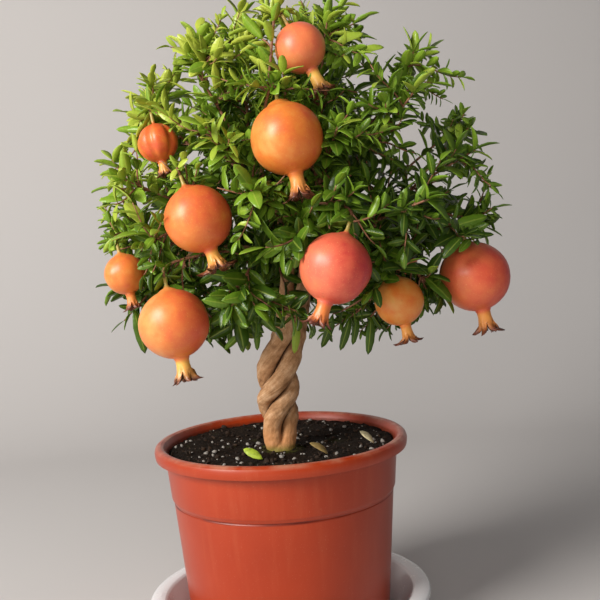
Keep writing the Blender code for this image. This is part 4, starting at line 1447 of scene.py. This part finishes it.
def wood_points():
    """Points on branches and twigs that a shoot can grow from, with the way the wood runs there."""
    points = []
    for numbers, smooth in runs:
        for a, b in zip(smooth[3:], smooth[4:]):
            points.append((b, (b - a).normalized()))
    for spray in sprays:
        for share in (0.1, 0.3, 0.5, 0.7):
            points.append((spray.base.lerp(spray.tip, share), spray.heading))
    return points


def shoot_line(tip, draw):
    """A shoot that reaches a tip from the nearest wood that lies further in."""
    depth = (tip - CROWN_CENTRE).length

    def cost(anchor):
        gap = (tip - anchor[0]).length
        outside = max((anchor[0] - CROWN_CENTRE).length - depth + 0.004, 0)
        return abs(gap - SHOOT_LENGTH) + 3 * outside

    spot, way = min(anchors, key=cost)
    aim = (tip - spot).normalized()
    start_way = (aim + way * 0.5 + any_way(draw) * 0.2).normalized()
    end_way = (aim + UP * 0.25 + any_way(draw) * 0.2).normalized()
    return arc(spot, start_way, tip, end_way, 6)


draw = random.Random(77)
anchors = wood_points()
shoots = []
tips = []
for i, way in enumerate(even_ways(SHOOTS, 1.1)):
    aim = (way + any_way(draw) * 0.05).normalized()
    tips.append(CROWN_CENTRE + aim * (crown_reach(aim) * DEPTHS[i % len(DEPTHS)] - 0.008))
strays = [Vector(spot) for spot in STRAY_TIPS]
for tip in tips + strays:
    aim = (tip - CROWN_CENTRE).normalized()
    low_middle = aim.z < -0.62 and math.hypot(tip.x - 0.01, tip.y) < 0.045
    thin_side = tip.x > 0.078 and tip.z > 0.330 and draw.random() < THINNED
    if low_middle or (thin_side and tip not in strays):
        continue
    line = shoot_line(tip, draw)
    if clears_fruit(line[2:], 0.002) and not hides_fruit(line[2:]):
        shoots.append(line)
for fruit in fruits:
    shoots += [smooth[3:] for numbers, smooth in runs if (smooth[-1] - stalk_end(fruit)).length < 0.0001]
print(len(shoots), "shoots")

# %% [markdown]
# A leaf's green runs from deep to fresh yellow green. Its blade is glossy, with a paler midrib and fine
# veins across it, which both follow the leaf's own UV coordinates. Twigs are red brown and rough.

# %% Leaf and twig finishes
leaf_skin = Finish("leaf_skin", IOR=1.45)
on_blade = leaf_skin.node("TexCoord", "UV")
rib = 1 - leaf_skin.maths("ABSOLUTE", leaf_skin.part("Y", on_blade) - 0.5).step(0.02, 0.09)
vein_values = {"Vector": on_blade, "Scale": 3.2, "Distortion": 1.5}
veins = leaf_skin.node("TexWave", "Fac", vein_values, wave_type="BANDS", bands_direction="X")
blotch = leaf_skin.cloud(160, 3)
deep_stops = ((0.0, (0.034, 0.076, 0.005)), (0.30, (0.108, 0.205, 0.012)))
fresh_stops = ((0.60, (0.218, 0.362, 0.028)), (1.0, (0.435, 0.500, 0.060)))
green = (leaf_skin.attribute("shade") + 0.25 * (blotch - 0.5)).ramp(*deep_stops, *fresh_stops)
ribbed = (0.45 * rib).blend(green, (0.34, 0.42, 0.06))
leaf_skin.wear(ribbed, 0.27 + 0.14 * blotch, 0.7 * rib + 0.3 * veins, depth=0.0004, strength=0.35)
twig_skin = Finish("twig_skin")
twig_tone = twig_skin.cloud(500, 4).ramp((0.3, (0.170, 0.060, 0.030)), (0.7, (0.380, 0.170, 0.090)))
twig_skin.wear(twig_tone, 0.6, twig_skin.cloud(1500, 3), depth=0.0003, strength=0.5)
print("leaf finish", len(leaf_skin.tree.nodes), "nodes")

# %% [markdown]
# Each spray becomes one piece: its twig, the shoots nearest to it, and all their leaves. Every leaf is a
# copy of a model with a number of its own for its shade of green, young leaves near the tips being
# yellower. The number also paints light and shade: leaves at the upper left and towards the outside are
# brighter, and those low down and at the right darker. It is stored as an attribute, so one finish serves
# every leaf. A leaf that would pass through a fruit or hide what it shows is left out. A few long leaves hang
# below the crown, where the photograph shows them one by one.

# %% Sprays
LEAF_SIZES = (0.0110, 0.0130, 0.0150, 0.0170, 0.0195, 0.0235)
HANGING_WIDTH = 0.62

# Long leaves that hang below the crown: where each starts and ends, and its shade
HANGING = [
    ((-0.0320, -0.040, 0.2440), (-0.0311, -0.041, 0.2256), 0.15),
    ((-0.0214, -0.045, 0.2430), (-0.0190, -0.046, 0.2247), 0.20),
    ((-0.0124, -0.050, 0.2410), (-0.0121, -0.052, 0.2220), 0.20),
    ((0.0165, -0.034, 0.2400), (0.0140, -0.036, 0.2160), 0.75),
    ((0.0416, -0.050, 0.2440), (0.0340, -0.051, 0.2200), 0.05),
    ((0.0533, -0.050, 0.2410), (0.0458, -0.052, 0.2180), 0.05),
    ((0.0685, -0.045, 0.2400), (0.0658, -0.046, 0.2130), 0.05),
    ((0.0600, -0.030, 0.2420), (0.0570, -0.032, 0.2190), 0.10),
    ((-0.0960, -0.050, 0.2560), (-0.0895, -0.052, 0.2250), 0.10),
    ((-0.0440, -0.030, 0.2450), (-0.0460, -0.031, 0.2260), 0.15),
]


def calyx_end(fruit):
    return fruit.centre + fruit.axis * fruit.radius * (1.1 + LOOKS[fruit.name].tube)


def hides_calyx(points):
    """Whether any point lies in front of a fruit's calyx."""
    return any(in_front(points, calyx_end(fruit), 0.42 * fruit.radius) for fruit in fruits)


def leaf_fits(matrix, length):
    """Whether a leaf stays out of every fruit and off what it shows."""
    spots = [matrix @ Vector((length * share, 0, -0.16 * length * share ** 2)) for share in (0.25, 0.6, 1.0)]
    return clears_fruit(spots, 0.0010) and not hides_fruit(spots, 0.90) and not hides_calyx(spots)


def shade_for(spot, share, draw):
    """A leaf's shade: 0 deep green, 1 fresh yellow green. It also paints light and shade: leaves outside and
    at the upper left are brighter, those low down and at the right darker.
    """
    out = (spot - CROWN_CENTRE).length / crown_reach((spot - CROWN_CENTRE).normalized())
    high = clamp((spot.z - 0.26) / 0.08)
    # Painted light and shade: brighter at the upper left and towards the outside, darker low down and at the
    # right.
    painted_sun = 0.36 * high * clamp((0.05 - spot.x) / 0.12) + 0.30 * clamp((spot.z - 0.33) / 0.10)
    low = 0.22 * (1 - high) + 0.05 * clamp((spot.x - 0.04) / 0.05)
    return clamp(0.12 + (0.30 + painted_sun) * out ** 3 * share + 0.5 * painted_sun - low + draw.gauss(0.05, 0.17))


def leaf_copy(matrix, length, width, shade, draw):
    data = draw.choice(leaf_models).data.copy()
    data.transform(matrix @ Matrix.Diagonal((length, length * width, length, 1)))
    copy = linked("leaf", data)
    put_numbers(copy, "shade", shade)
    leaf_skin.cover(copy)
    return copy


def shoot_tube(line, radii):
    tube = swept("shoot", line, radii, 4)
    twig_skin.cover(tube)
    return tube


def hanging_leaf(start, end):
    """A long leaf at the end of a shoot, with its upper face to the front."""
    forward = Vector(end) - Vector(start)
    return frame_matrix(Vector(start), forward.normalized(), Vector((0.3, -1, 0.2))), forward.length


def make_spray(number, spray, lines, hanging):
    """Make a spray, and count its leaves."""
    draw = random.Random(500 + number)
    base, heading, tip = spray
    twig = swept("twig", [base + heading * 0.0003, base.lerp(tip, 0.5), tip], [0.0010, 0.0009, 0.0006], 6)
    twig_skin.cover(twig)
    parts = [twig]
    # Each leaf is a matrix, a length, how much it yellows and takes painted light towards the crown's
    # outside, and a shade where that is set
    leaves = [(matrix, 0.82 * length, 0.9, None) for matrix, length in solid_leaves(number, spray)]
    leaves += [(*leaf, 0.6, None) for leaf in shoot_leaves([base, tip], 0.0065, 0.017, draw)[:-1]]
    for line in lines:
        parts.append(shoot_tube(line, [mix(0.0008, 0.0004, i / (len(line) - 1)) for i in range(len(line))]))
        size = draw.choice(LEAF_SIZES)
        own_leaves = shoot_leaves(line, 0.33 * size, size, draw)
        leaves += [(*leaf, draw.uniform(0.4, 1), None) for leaf in own_leaves]
    for line, start, end, shade in hanging:
        parts.append(shoot_tube(line, [0.0007] * len(line)))
        leaves.append((*hanging_leaf(start, end), 0, shade))
        leaves += [(*leaf, 0.3, None) for leaf in shoot_leaves(line, 0.008, 0.019, draw)[:-1]]
    kept = [leaf for leaf in leaves if leaf_fits(leaf[0], leaf[1])]
    for matrix, length, share, shade in kept:
        width = HANGING_WIDTH
        if shade is None:
            shade = shade_for(matrix.translation, share, draw)
            width = draw.uniform(0.74, 1.12)
        parts.append(leaf_copy(matrix, length, width, shade, draw))
    piece = joined(f"leafy_spray_{number:02d}", parts)
    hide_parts(f"spray_{number:02d}")
    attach(piece, "root")
    return len(kept)


def nearest_spray(line):
    """The number of the spray whose middle is nearest to a shoot's start."""
    return min(range(SPRAYS), key=lambda i: (sprays[i].base.lerp(sprays[i].tip, 0.5) - line[0]).length)


by_spray = [[] for spray in sprays]
for line in shoots:
    by_spray[nearest_spray(line)].append(line)
hung = [[] for spray in sprays]
for start, end, shade in HANGING:
    line = shoot_line(Vector(start), draw)
    hung[nearest_spray(line)].append((line, start, end, shade))
counts = [make_spray(i + 1, spray, by_spray[i], hung[i]) for i, spray in enumerate(sprays)]
print(sum(counts), "leaves on", len(counts), "sprays")

# %% [markdown]
# A few fallen leaves lie on the soil: one still yellow green, one dry and brown, one bleached. They use the
# same leaf models, at the solid leaves' places and tipped as they fell, and each has stains of its own.

# %% Fallen leaves
# Name, place, turn, pitch and roll in degrees, length and colour
FALLEN = [
    ("fallen_leaf_green", -0.0140, -0.0340, 165, 30, -50, 0.016, (0.40, 0.52, 0.04)),
    ("fallen_leaf_brown", 0.0330, -0.0370, 175, 46, -30, 0.015, (0.40, 0.28, 0.10)),
    ("fallen_leaf_pale", 0.0680, -0.0230, 150, 46, -20, 0.014, (0.66, 0.58, 0.34)),
]
for model, (name, x, y, turn, pitch, roll, length, colour) in zip(leaf_models, FALLEN):
    leaf = linked(name + "_blade", model.data.copy())
    place = Matrix.Translation((x, y, soil_height(x, y) + 0.0012))
    tilt = rotation(turn, "Z") @ rotation(-pitch, "Y") @ rotation(roll, "X")
    leaf.matrix_world = place @ tilt @ Matrix.Diagonal((length, length, length, 1))
    settled(leaf)
    dried = Finish(name)
    stain = dried.cloud(350, 5)
    stained = stain.step(0.45, 0.75).blend(colour, [0.45 * part for part in colour])
    dried.wear(stained, 0.5 + 0.2 * stain, stain, depth=0.0003, strength=0.4)
    dried.cover(leaf)
    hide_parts(name)
    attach(leaf, "root")
for model in leaf_models:
    bpy.data.objects.remove(model)
print(len(FALLEN), "fallen leaves laid")
